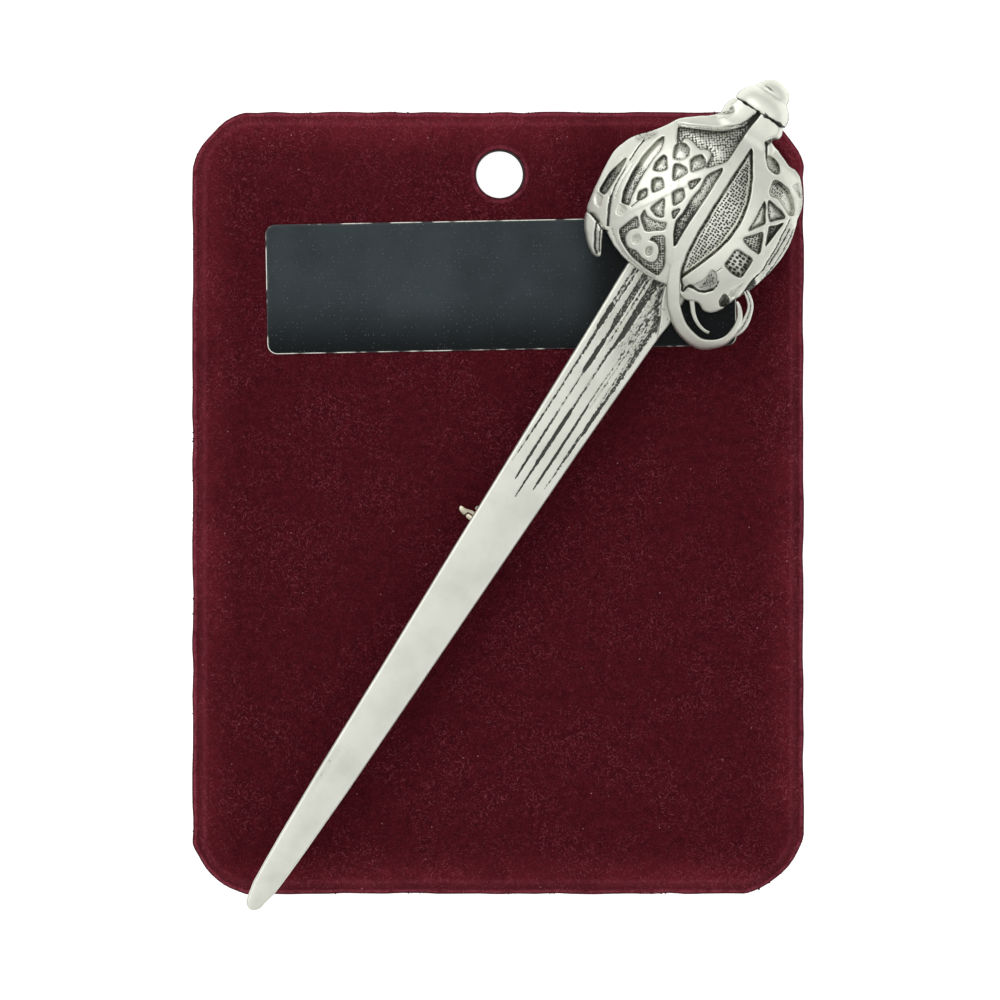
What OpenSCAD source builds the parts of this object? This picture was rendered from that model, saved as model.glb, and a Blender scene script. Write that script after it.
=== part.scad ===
// Kilt pin in the form of a basket-hilted sword, fastened on a small display card.
// All sizes are in mm. The card lies flat on the surface at z = 0 and its face looks up.
// X runs to the right of the card and Y to its top. The sword leans across the card.
// Inside the sword's own frame x runs across the blade and y runs from the tip to the pommel.

/* [Sword] */
// length of the whole sword, from the tip to the top of the pommel
sword_l = 100; // [75:1:115]
// angle of the sword from the card's upright
sword_lean = 32.88; // [15:0.5:45]
// width of the blade at the hilt
blade_w = 7.0; // [5:0.1:9]
// thickness of the blade
blade_t = 1.8; // [1.2:0.1:3]
// depth of the grooves near the hilt
groove_depth = 0.3; // [0.1:0.05:0.6]
// width of the widest groove
groove_w = 0.55; // [0.3:0.05:0.8]

/* [Hilt] */
// half of the basket's width
basket_r = 10; // [8:0.25:12]
// rise of the basket above the sword's flat back
basket_h = 8; // [6:0.25:10]
// thickness of the pierced shell
shell_t = 1.3; // [0.9:0.1:2]
// width of the pommel's dome
pommel_w = 6.1; // [4.5:0.1:7.5]
// radius of the button on the pommel
button_r = 1.85; // [1.3:0.05:2.4]

/* [Card] */
// width of the card
card_w = 62.1; // [50:0.5:80]
// height of the card
card_h = 79.5; // [65:0.5:100]
// radius of the card's corners
card_corner = 6.6; // [3:0.2:9]
// height of the card's face above the surface
card_z = 3.0; // [2.6:0.1:4]
// thickness of the card's wall
card_wall = 0.8; // [0.5:0.05:1.1]
// width of the flange round the card
flange_w = 0.6; // [0.2:0.05:1]
// width of the sloped edge between the flange and the face
bevel_w = 0.6; // [0.3:0.05:1]
// diameter of the hang hole
hang_d = 4.92; // [4:0.02:6]
// distance from the card's top edge to the middle of the hang hole
hang_drop = 6.25; // [5:0.25:9]

/* [Label] */
// width of the bare label
label_w = 47.8; // [40:0.2:52]
// height of the bare label
label_h = 13.2; // [10:0.2:16]
// thickness of the label
label_t = 0.15; // [0.1:0.05:0.4]
// distance from the card's top edge to the middle of the label
label_drop = 17.55; // [14:0.25:24]
// angle by which the label was stuck on askew
label_turn = 1.1; // [0:0.1:3]

/* [Fittings] */
// space between the card's face and the sword's flat back
standoff = 4.0; // [3.6:0.1:6]
// diameter of the hidden stem
stem_d = 1.0; // [0.7:0.05:1.2]
// width of the hidden back bar
bar_w = 2.2; // [1.6:0.1:3]
// length that the catch's tab stands out past the blade
tab_out = 1.65; // [0.8:0.05:3]
// gap kept between neighbouring pieces
gap = 0.04; // [0.02:0.01:0.1]

/* [Hidden] */
$fn = 96;
pewter = [0.80, 0.80, 0.77];
velvet = [0.28, 0.07, 0.11];
black = [0.12, 0.14, 0.16];
brass = [0.69, 0.64, 0.49];

// One share of the sword is a hundredth of its length, and one of the basket is a
// hundredth of its half width.
u = sword_l / 100;
k = basket_r / 100;
back_z = card_z + standoff;
top_z = back_z + blade_t;
basket_y = 84.3 * u;
basket_x = -0.6 * u;

// The box of the whole part is centred on the origin, so the tip's place comes from the
// ends of the box: the rounded tip below and the pommel's button above.
tip_r = 0.5 * u;
pommel_x = -0.43 * u;
button_y = sword_l - button_r;
rise = cos(sword_lean);
run = sin(sword_lean);
box_top = button_y * rise - pommel_x * run + button_r;
box_low = tip_r * rise - tip_r;
tip = [-25.25 * u, -(box_top + box_low) / 2];
card_y = tip[1] + 41.34 * u;

// Domes: the shell's outer and inner spheres, and the wider one that the ring follows.
rim_r = 112 * k;
rim_h = 0.25 * basket_h;
dome_r = (rim_r * rim_r + pow(basket_h - rim_h, 2)) / (2 * (basket_h - rim_h));
dome_z = back_z + basket_h - dome_r;
ring_r = 178 * k;
ring_z = dome_z + sqrt(dome_r * dome_r - pow(53 * k, 2)) - sqrt(ring_r * ring_r - pow(53 * k, 2));
ring_t = 2.0 * basket_r / 10;
wall_w = 8 * k;

// The hidden stem is an arc that dips behind the card between its hinge and its catch.
stem_r = stem_d / 2;
catch_y = 45.8 * u;
hinge_y = 79 * u;
stem_low = card_z - card_wall - stem_r - 0.4;
stem_end = back_z - 2.0;
stem_half = (hinge_y - catch_y) / 2;
stem_mid = (hinge_y + catch_y) / 2;
stem_sag = stem_end - stem_low;
stem_arc = (stem_half * stem_half + stem_sag * stem_sag) / (2 * stem_sag);
stem_angle = asin(stem_half / stem_arc);
bar_t = 0.6;

// Place of the stem along the blade where its middle line stands at height z.
function stem_at(z) = sqrt(stem_arc * stem_arc - pow(stem_low + stem_arc - z, 2));
slot_in = stem_at(card_z - card_wall - stem_r - 0.25);
slot_out = stem_at(min(stem_end - 0.1, card_z + label_t + stem_r + 0.25));

// Blade: [share of the sword's length, share of the blade's half width].
BLADE = [
    [1.2, 0.27], [2.6, 0.36], [5, 0.41], [8.3, 0.46], [15.6, 0.54], [28, 0.63], [42, 0.73],
    [57, 0.83], [66, 0.91], [71, 0.965], [76, 1.0],
];
// Grooves: [middle line at the hilt, at the point, start, width as a share of groove_w].
GROOVES = [
    [-0.70, -0.78, 53, 0.55], [-0.36, -0.40, 51.5, 1.0], [-0.03, -0.03, 50, 0.85],
    [0.30, 0.34, 51.4, 0.75], [0.66, 0.68, 52.3, 1.0],
];

// Outline of the basket, without its ring and leaf. Shares of the basket, from its middle.
OUTLINE = [
    [-22, 92], [-46, 80], [-63, 69], [-70, 58], [-78, 45], [-90, 35], [-97, 24], [-101, 12],
    [-102, 0], [-100, -16], [-98, -30], [-95, -42], [-93, -60], [-78, -64], [-64, -66],
    [-54, -73], [-44, -77], [-29, -81], [-9, -82.5], [9, -81], [14, -78], [26, -80],
    [36, -79], [47, -82], [58, -81], [65, -79], [74, -71], [80, -61], [86, -50], [90, -38],
    [93, -28], [98, -14], [101, 3], [101, 22], [97, 39], [92, 49], [93, 59], [86.5, 69],
    [80, 77], [74, 85], [62, 90], [48, 91], [32, 97], [18, 96],
];
// Windows, each cut through the shell down to the ground behind it.
MESH_TOP = [[1.5, 110], [-2, 108], [-6, 103], [-19, 90], [-36, 78], [-50, 68], [-60, 63],
    [-54, 55], [-44, 58], [-30, 57], [-18, 54], [-13, 47], [-6, 46], [1.5, 51]];
SLOT_LEFT = [[-67, 46], [-64, 40], [-64.5, 17], [-64, -3], [-63, -23], [-60, -32],
    [-67, -34], [-72, -23], [-74, -3], [-74, 17], [-71, 38]];
SLOT_RIGHT = [[1.5, 52], [-9, 36], [-7, 22], [-9, 7], [-8, -8], [-10, -21], [-4, -33],
    [3.5, -45], [2, -20], [2.5, 17]];
SLOT_EDGE = [[-88, 6], [-93, -13], [-93, -36], [-85, -37], [-85, -13], [-86.5, 6]];
LEAF = [[14.5, 83], [25, 69], [33, 57], [40, 42], [45, 25], [46.5, 9], [45.5, -8], [42, -21],
    [37, -35], [32, -50], [26, -61], [22, -66], [17, -50], [15.5, -28], [15, 0], [15, 40]];
OVAL = [[32, 87], [42, 87], [51, 81], [51, 76], [44, 75], [38, 79]];
CURVED = [[52, 70], [60, 71], [69, 69], [78, 63], [86, 54], [85, 51], [76, 51], [66, 56],
    [57, 54.5], [53, 57]];
TRI_TOP = [[58, 49], [71, 47], [80, 43], [72, 33], [65, 40]];
TRI_LEFT = [[56, 43], [62, 33], [67, 26], [58, 15]];
TRI_RIGHT = [[82, 36], [74, 26], [80, 12]];
TRI_LOW = [[71, 17], [79, -1], [68, -1.5], [58, 2]];
SQUARE = [[57, -10], [77, -10], [77, -31], [68, -33], [56, -30]];
DIAMOND = [[71, -56], [78, -56], [80, -62], [74, -67], [71, -64]];
KNOT = [
    [[-46, 8], [-40, 3], [-46, -8], [-53, 2]],
    [[-22, 12], [-16, 4], [-20, -8], [-29, 2]],
    [[-42, 31], [-28, 31], [-34, 14]],
    [[-52, 50], [-45, 51], [-36, 47], [-36, 41], [-45, 33], [-53, 43]],
    [[-30, 48], [-23, 50], [-15, 45], [-16, 38], [-23, 32], [-31, 42]],
    [[-53, 27], [-47, 19], [-57, 11], [-60, 19]],
    [[-12, 31], [-14, 15], [-21, 21]],
    [[-53, -9], [-49, -15], [-54, -23], [-58, -15]],
    [[-13, -8], [-13, -20], [-18, -14]],
    [[-33, -8], [-24, -23], [-30, -26.5], [-39, -23]],
    [[-43, -29], [-36, -33], [-25, -32], [-17, -29], [-15, -35], [-24, -41], [-30, -45],
        [-37, -41], [-43, -35]],
];
FOOT = [[-46, -38], [-38, -46], [-44, -54], [-34, -60], [-12, -66], [-6, -60], [-20, -48],
    [-12, -40], [-2, -53], [5, -63], [5, -76.5], [-9, -77], [-29, -74], [-44, -68],
    [-54, -59], [-50, -47]];

// Middle lines of the ring and of the leaf at the basket's side.
RING = [[10, -30], [11, -45], [15, -58], [21, -70], [30, -84], [44, -97], [60, -106],
    [76, -107], [90, -101], [99, -88], [102.5, -73], [99, -59], [90, -49], [84, -44]];
LEAF_SIDE = [[-93.5, -60], [-86, -71], [-76, -83], [-66, -91], [-57, -93], [-55, -92],
    [-61, -83], [-69, -72], [-73, -64], [-84, -58]];
LOBE_LEFT = [[-28.5, 117], [-32, 109], [-31.5, 102], [-27, 97], [-14, 88], [-4, 101], [-1.5, 109],
    [-1.5, 117]];
LOBE_RIGHT = [[2.5, 117], [2, 102], [1.5, 87], [15, 85], [23, 97], [31, 102], [33.5, 109],
    [30.5, 117]];

function shares(points) = [for (p = points) [p[0] * k, p[1] * k]];
function unit(v) = v / norm(v);
function side(points, i) = let (
    a = points[max(i - 1, 0)],
    b = points[min(i + 1, len(points) - 1)],
    d = unit(b - a)
) [-d[1], d[0]];
function edge(points, w) = [for (i = [0:len(points) - 1]) points[i] + side(points, i) * w];
function turned_back(points) = [for (i = [len(points) - 1:-1:0]) points[i]];
function blade_side(grow, sign) = [
    for (row = BLADE) [sign * (row[1] * blade_w / 2 + grow), row[0] * u]
];

// Puts a piece drawn in the sword's frame on the card.
module on_card() {
    translate([tip[0], tip[1], 0])
        rotate([0, 0, -sword_lean])
            children();
}

// Puts a drawing of the basket at its place along the sword.
module at_basket() {
    translate([basket_x, basket_y, 0])
        children();
}

module rounded(w, h, r) {
    square([w - 2 * r, h], center = true);
    square([w, h - 2 * r], center = true);
    for (x = [-1, 1], y = [-1, 1])
        translate([x * (w / 2 - r), y * (h / 2 - r)])
            circle(r);
}

// A flat strip of width w along a middle line.
module strip(points, w) {
    polygon(concat(edge(points, w / 2), turned_back(edge(points, -w / 2))));
}

// The two openings that the stem is threaded through.
module stem_slots(low, high) {
    on_card()
        for (y = [stem_mid - slot_out, stem_mid + slot_in])
            translate([-stem_d / 2 - 0.35, y, low])
                cube([stem_d + 0.7, slot_out - slot_in, high - low]);
}

module card() {
    inset = flange_w + bevel_w;
    color(velvet)
        difference() {
            translate([0, card_y, 0]) {
                linear_extrude(card_wall)
                    rounded(card_w, card_h, card_corner);
                linear_extrude(card_z - bevel_w)
                    rounded(card_w - 2 * flange_w, card_h - 2 * flange_w, card_corner - flange_w);
                linear_extrude(card_z)
                    rounded(card_w - 2 * inset, card_h - 2 * inset, card_corner - inset);
            }
            translate([0, card_y, -1])
                linear_extrude(card_z - card_wall + 1)
                    rounded(card_w - 2 * (inset + card_wall), card_h - 2 * (inset + card_wall),
                        card_corner - inset - card_wall);
            translate([0.2, card_y + card_h / 2 - hang_drop, -1])
                cylinder(h = card_z + 2, r = hang_d / 2);
            stem_slots(card_z - card_wall - 0.5, card_z + 0.5);
        }
}

module label() {
    color(black)
        difference() {
            translate([0.3, card_y + card_h / 2 - label_drop, card_z + gap])
                rotate([0, 0, label_turn])
                    linear_extrude(label_t)
                        rounded(label_w, label_h, 1);
            stem_slots(card_z - 0.5, card_z + label_t + 0.5);
        }
}

// Flat outline of the blade, grown on all sides, with its rounded tip.
module blade_outline(grow) {
    tang = [[0.8 * blade_w / 2 + grow, 76.6 * u + grow], [0.8 * blade_w / 2 + grow, 79 * u + grow]];
    polygon(concat(
        [[0.17 * blade_w / 2 + grow, 0.3 * u]], blade_side(grow, 1), tang,
        [for (p = turned_back(tang)) [-p[0], p[1]]], turned_back(blade_side(grow, -1)),
        [[-0.17 * blade_w / 2 - grow, 0.3 * u]]));
    translate([0, tip_r])
        circle(tip_r + grow);
}

module groove(row) {
    w = groove_w * row[3] / 2;
    x1 = row[0] * blade_w / 2;
    x0 = row[1] * 0.80 * blade_w / 2;
    polygon([[x1 - w, 79.5 * u], [x1 - w, 70 * u], [(x0 + x1) / 2 - w / 2, 60 * u], [x0, row[2] * u],
        [(x0 + x1) / 2 + w / 2, 60 * u], [x1 + w, 70 * u], [x1 + w, 79.5 * u]]);
}

module blade() {
    color(pewter)
        on_card()
            difference() {
                union() {
                    translate([0, 0, back_z])
                        linear_extrude(blade_t - 0.3)
                            blade_outline(0);
                    translate([0, 0, back_z])
                        linear_extrude(blade_t)
                            blade_outline(-0.22);
                }
                for (row = GROOVES)
                    translate([0, 0, top_z - groove_depth])
                        linear_extrude(groove_depth + 1)
                            groove(row);
            }
}

// Room for the blade under the hilt.
module blade_room() {
    translate([0, 0, back_z - 1])
        linear_extrude(blade_t + 1 + gap)
            blade_outline(gap);
}

module dome(r, z) {
    translate([basket_x, basket_y, z])
        sphere(r);
}

module lobes(grow) {
    at_basket()
        offset(delta = grow) {
            polygon(shares(LOBE_LEFT));
            polygon(shares(LOBE_RIGHT));
        }
}

module silhouette(inset) {
    at_basket()
        offset(delta = -inset)
            polygon(shares(OUTLINE));
}

module windows() {
    for (w = [MESH_TOP, SLOT_LEFT, SLOT_RIGHT, SLOT_EDGE, LEAF, OVAL, CURVED, TRI_TOP, TRI_LEFT,
        TRI_RIGHT, TRI_LOW, SQUARE, DIAMOND])
        polygon(shares(w));
    for (w = KNOT)
        polygon(shares(w));
    difference() {
        polygon(shares(FOOT));
        translate([-34 * k, -57.5 * k])
            circle(11 * k, $fn = 24);
        translate([-17 * k, -60 * k])
            circle(11.5 * k, $fn = 24);
    }
    translate([-34 * k, -57.5 * k])
        circle(4.5 * k, $fn = 16);
    translate([-17 * k, -60 * k])
        circle(4.5 * k, $fn = 16);
}

// The pierced drawing of the basket.
module straps() {
    at_basket()
        difference() {
            polygon(shares(OUTLINE));
            windows();
        }
}

// The room inside the shell, with a wall left round it and its neck left whole.
module inside(inset, grow) {
    intersection() {
        dome(dome_r - shell_t - inset, dome_z);
        translate([0, 0, back_z - 1])
            linear_extrude(basket_h + 2)
                difference() {
                    silhouette(wall_w + inset);
                    lobes(grow);
                }
    }
}

module grip() {
    color(pewter)
        on_card()
            difference() {
                inside(gap, gap);
                translate([-sword_l / 2, 0, back_z - 2])
                    cube([sword_l, sword_l, 2]);
                blade_room();
            }
}

// The strap that runs down from the neck and curls into the ring, and the leaf at the side.
module ring_and_leaf() {
    intersection() {
        difference() {
            dome(ring_r, ring_z);
            dome(ring_r - ring_t, ring_z);
        }
        translate([0, 0, back_z])
            linear_extrude(basket_h + 1)
                at_basket() {
                    strip(shares(RING), 12 * k);
                    polygon(shares(LEAF_SIDE));
                }
    }
}

module neck() {
    intersection() {
        translate([pommel_x, 91 * u, back_z + 0.6])
            rotate([-90, 0, 0])
                cylinder(h = 6 * u, r = 36 * k);
        translate([0, 0, back_z])
            linear_extrude(basket_h + 1)
                lobes(0);
    }
}

module basket() {
    color(pewter)
        on_card()
            difference() {
                union() {
                    intersection() {
                        dome(dome_r, dome_z);
                        translate([0, 0, back_z])
                            linear_extrude(basket_h + 1)
                                straps();
                    }
                    ring_and_leaf();
                    neck();
                }
                inside(0, 0);
                blade_room();
            }
}

module pommel() {
    r = pommel_w / 2;
    low = 96.15 * u;
    color(pewter)
        on_card()
            intersection() {
                translate([pommel_x, 0, back_z + 1.2])
                    rotate([-90, 0, 0])
                        union() {
                            rotate_extrude()
                                polygon([[0, low], [0.93 * r, low], [r, low + 0.4], [r, low + 0.9],
                                    [0.95 * r, low + 1.35], [0.84 * r, low + 1.75],
                                    [0.70 * r, low + 2.05], [0.5 * r, low + 2.3], [0, low + 2.4]]);
                            translate([0, 0, button_y])
                                sphere(button_r);
                        }
                translate([-10, 90 * u, back_z])
                    cube([20, 14 * u, 10]);
            }
}

module pin_back() {
    high = back_z - gap;
    color(brass)
        on_card() {
            translate([-bar_w / 2, 43.6 * u, high - bar_t])
                cube([bar_w, 38 * u, bar_t]);
            translate([-1.3, hinge_y - 1.3, stem_end - stem_r - 0.4])
                cube([2.6, 2.6, high - stem_end + stem_r + 0.4]);
            translate([-1.25, catch_y - 1.2, stem_end - stem_r - 0.4])
                cube([2.5, 2.4, high - stem_end + stem_r + 0.4]);
            translate([0, stem_mid, stem_low + stem_arc])
                rotate([0, 90, 0])
                    rotate([0, 0, -stem_angle])
                        rotate_extrude(angle = 2 * stem_angle)
                            translate([stem_arc, 0])
                                circle(stem_r, $fn = 48);
        }
}

module catch_lever() {
    reach = 0.76 * blade_w / 2 + tab_out;
    color(brass)
        on_card()
            translate([-reach, catch_y - 0.4, stem_end - 0.4])
                cube([reach - 1.25 - gap, 0.8, 0.8]);
}

card();
label();
blade();
grip();
basket();
pommel();
pin_back();
catch_lever();
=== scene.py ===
"""Dresses the sword kilt pin and its display card. Everything is in metres, in the CAD frame."""

import sys
import logging
import math
from collections.abc import Callable
from dataclasses import dataclass, field
from enum import Enum
from functools import partial

import bmesh
import bpy
import numpy as np
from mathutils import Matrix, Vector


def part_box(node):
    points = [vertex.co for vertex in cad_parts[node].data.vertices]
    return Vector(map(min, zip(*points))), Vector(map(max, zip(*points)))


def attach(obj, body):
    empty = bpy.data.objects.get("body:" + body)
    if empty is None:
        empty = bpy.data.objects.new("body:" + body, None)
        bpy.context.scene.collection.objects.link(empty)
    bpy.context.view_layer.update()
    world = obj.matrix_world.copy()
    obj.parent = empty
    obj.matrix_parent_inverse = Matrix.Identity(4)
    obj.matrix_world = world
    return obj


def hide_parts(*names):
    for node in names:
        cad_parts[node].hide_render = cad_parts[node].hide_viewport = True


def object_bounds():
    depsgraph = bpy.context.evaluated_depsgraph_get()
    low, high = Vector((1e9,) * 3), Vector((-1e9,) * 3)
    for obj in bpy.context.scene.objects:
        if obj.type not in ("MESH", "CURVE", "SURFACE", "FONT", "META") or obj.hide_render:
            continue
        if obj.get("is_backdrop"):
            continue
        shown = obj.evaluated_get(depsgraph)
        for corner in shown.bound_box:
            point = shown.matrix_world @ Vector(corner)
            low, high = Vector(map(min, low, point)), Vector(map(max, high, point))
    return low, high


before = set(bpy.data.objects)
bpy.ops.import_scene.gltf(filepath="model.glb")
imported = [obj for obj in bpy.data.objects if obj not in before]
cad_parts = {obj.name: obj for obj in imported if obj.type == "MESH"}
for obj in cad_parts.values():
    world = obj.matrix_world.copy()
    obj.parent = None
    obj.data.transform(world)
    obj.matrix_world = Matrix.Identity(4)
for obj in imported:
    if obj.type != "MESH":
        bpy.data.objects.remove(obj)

LOG = logging.getLogger("kilt_pin")
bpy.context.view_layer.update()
MM = 0.001
SEED = 41

Tree = bpy.types.NodeTree
Node = bpy.types.Node
Material = bpy.types.Material
Piece = bpy.types.Object
Array = np.ndarray
Inputs = dict[str | int, object]
Adder = Callable[..., Node]
Pair = tuple[float, float]
Loop = tuple[Pair, ...]


class Slot(Enum):
    """Material slots of the record, one for each stuff that the object is made of."""

    VELVET = "velvet"
    LABEL = "label_black"
    PEWTER = "pewter"
    BRASS = "plated_brass"


class Weave(Enum):
    """Surface patterns that the pewter was cast with."""

    PLAIN = "plain"
    SHAGREEN = "shagreen"


# Shades and nodes


def linear(hex_colour: str) -> tuple[float, float, float, float]:
    """Turns an sRGB hex colour to linear light.

    Args:
        hex_colour: the colour as #RRGGBB.

    Returns:
        Red, green and blue in linear light, and full opacity.
    """
    parts = [int(hex_colour[i : i + 2], 16) / 255 for i in (1, 3, 5)]
    curve = [c / 12.92 if c <= 0.04045 else ((c + 0.055) / 1.055) ** 2.4 for c in parts]
    return (*curve, 1.0)


def add_node(tree: Tree, kind: str, inputs: Inputs | None = None, **settings: object) -> Node:
    """Adds one node, sets its options, and fills or links its inputs.

    Args:
        tree: the node tree that gets the node.
        kind: the node's type name without ShaderNode.
        inputs: for each input by name or number a value, an output to link, or a node, which
            stands for its first output.
        settings: options of the node.

    Returns:
        The new node.
    """
    node = tree.nodes.new("ShaderNode" + kind)
    for name, value in settings.items():
        setattr(node, name, value)
    for name, value in (inputs or {}).items():
        source = value.outputs[0] if isinstance(value, Node) else value
        if isinstance(source, bpy.types.NodeSocket):
            tree.links.new(source, node.inputs[name])
        else:
            node.inputs[name].default_value = source
    return node


# Options that many nodes share. Inputs 0 to 4 of a Map Range are its value, the range that it comes
# from and the range that it goes to. Inputs 0, 6 and 7 and output 2 of a colour Mix are its share
# and its colours.
COLOUR = {"data_type": "RGBA"}
SOFT = {"interpolation_type": "SMOOTHSTEP"}
FLAT = {"voronoi_dimensions": "2D"}
PLUS = {"operation": "ADD"}
MINUS = {"operation": "SUBTRACT"}
TIMES = {"operation": "MULTIPLY"}
TIMES_PLUS = {"operation": "MULTIPLY_ADD"}
UNSIGNED = {"operation": "ABSOLUTE"}
CLOUDY = {"Detail": 3.0, "Roughness": 0.6}


class Finish:
    """What a piece is made of or coated with."""

    def dress(self, add: Adder, mm: Node) -> Inputs:
        """Adds the finish's own nodes.

        Args:
            add: adds a node to the material.
            mm: coordinates in mm.

        Returns:
            The shader's inputs.
        """
        raise NotImplementedError

    def build(self, name: str) -> Material:
        """Builds the material: one shader, fed by the finish's own nodes.

        Args:
            name: the material's name.

        Returns:
            The material.
        """
        material = bpy.data.materials.new(name)
        material.use_nodes = True
        material.node_tree.nodes.clear()
        add = partial(add_node, material.node_tree)
        place = add("TexCoord")
        mm = add("Mapping", {0: place.outputs["Object"], "Scale": (1000, 1000, 1000)})
        shader = add("BsdfPrincipled", self.dress(add, mm))
        add("OutputMaterial", {"Surface": shader})
        return material


@dataclass(frozen=True)
class CastPewter(Finish):
    """Cast pewter, tumbled bright on its high spots over a dark sulphide patina.

    The eye sees soft, nearly white metal with a satin sheen, greyer where the tumbling only just
    reached, and recesses that stay charcoal with ragged borders.

    Attributes:
        bright, shade: colours of the tumbled metal and of its duller clouds.
        dull, patina: colours of the metal that is only half clean, and of the patina.
        polish: roughness of the tumbled metal.
        weave, lean: pattern cast into the metal, and the sword's lean that turns it, in radians.
        ragged, ragged_mm: how far noise moves the patina's border, and its spots' size in mm.
        stretch: how much longer the spots are along the sword.
        edge, crisp: stain at which the patina ends, and how softly it ends.
        cast: how rough the casting's skin is.
    """

    bright: str = "#D4D5CB"
    shade: str = "#C0C2B8"
    dull: str = "#74756C"
    patina: str = "#2C2D27"
    polish: float = 0.43
    weave: Weave = Weave.PLAIN
    lean: float = 0.0
    ragged: float = 1.6
    ragged_mm: float = 0.17
    stretch: float = 1.0
    edge: float = 0.6
    crisp: float = 0.12
    cast: float = 0.3

    def dress(self, add: Adder, mm: Node) -> Inputs:
        """Lays a patina over the metal. It follows the mesh's stain attribute, moved by noise and,
        under the shagreen weave, by a pattern of pits in the mesh's grain coordinates.

        Args:
            add: adds a node to the material.
            mm: coordinates in mm.

        Returns:
            The shader's inputs.
        """
        turned = add("Mapping", {0: mm, "Rotation": (0, 0, self.lean)})
        drawn = add("Mapping", {0: turned, "Scale": (1, 1 / self.stretch, 1)})
        # The stain holds patina, and in places painted shade, such as in crevices and on lower flanks.
        stain = add("Attribute", attribute_name="stain").outputs["Fac"]
        spots = add("TexNoise", {"Vector": drawn, "Scale": 1 / self.ragged_mm, **CLOUDY})
        moved = add("Math", {0: spots, 1: self.ragged, 2: -self.ragged / 2}, **TIMES_PLUS)
        total = add("Math", {0: stain, 1: moved}, **PLUS)
        if self.weave is Weave.SHAGREEN:
            grain = add("Attribute", attribute_name="grain").outputs["Vector"]
            beads = add("SeparateXYZ", {0: grain}).outputs["Z"]
            pits = add("TexVoronoi", {"Vector": grain, "Scale": 1.0, "Randomness": 0.42}, **FLAT)
            hole = add("MapRange", {0: pits, 1: 0.2, 2: 0.56, 3: 0.75, 4: -0.42}, **SOFT)
            total = add("Math", {0: hole, 1: beads, 2: total}, **TIMES_PLUS)
        span = {1: self.edge - self.crisp, 2: self.edge + self.crisp}
        dark = add("MapRange", {0: total, **span}, **SOFT)
        cloud = add("TexNoise", {"Vector": turned, "Scale": 0.3, **CLOUDY})
        tone = add("MapRange", {0: cloud, 1: 0.4, 2: 0.7, 4: 0.6})
        metal = add("Mix", {0: tone, 6: linear(self.bright), 7: linear(self.shade)}, **COLOUR)
        half = add("MapRange", {0: stain, 1: 0.15, 2: 0.9, 4: 0.75})
        worn = add("Mix", {0: half, 6: metal.outputs[2], 7: linear(self.dull)}, **COLOUR)
        colour = add("Mix", {0: dark, 6: worn.outputs[2], 7: linear(self.patina)}, **COLOUR)
        rough = add("MapRange", {0: dark, 3: self.polish, 4: 0.6})
        metallic = add("MapRange", {0: dark, 3: 1.0, 4: 0.3})
        skin = add("TexNoise", {"Vector": turned, "Scale": 2.2, "Detail": 5.0, "Roughness": 0.6})
        cast = add("Bump", {"Strength": self.cast, "Distance": 0.00006, "Height": skin})
        dip = {"Strength": 0.3, "Distance": 0.00002, "Height": dark, "Normal": cast}
        sunk = add("Bump", dip, invert=True)
        return {"Base Color": colour.outputs[2], "Roughness": rough, "Metallic": metallic, "Normal": sunk}


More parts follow.
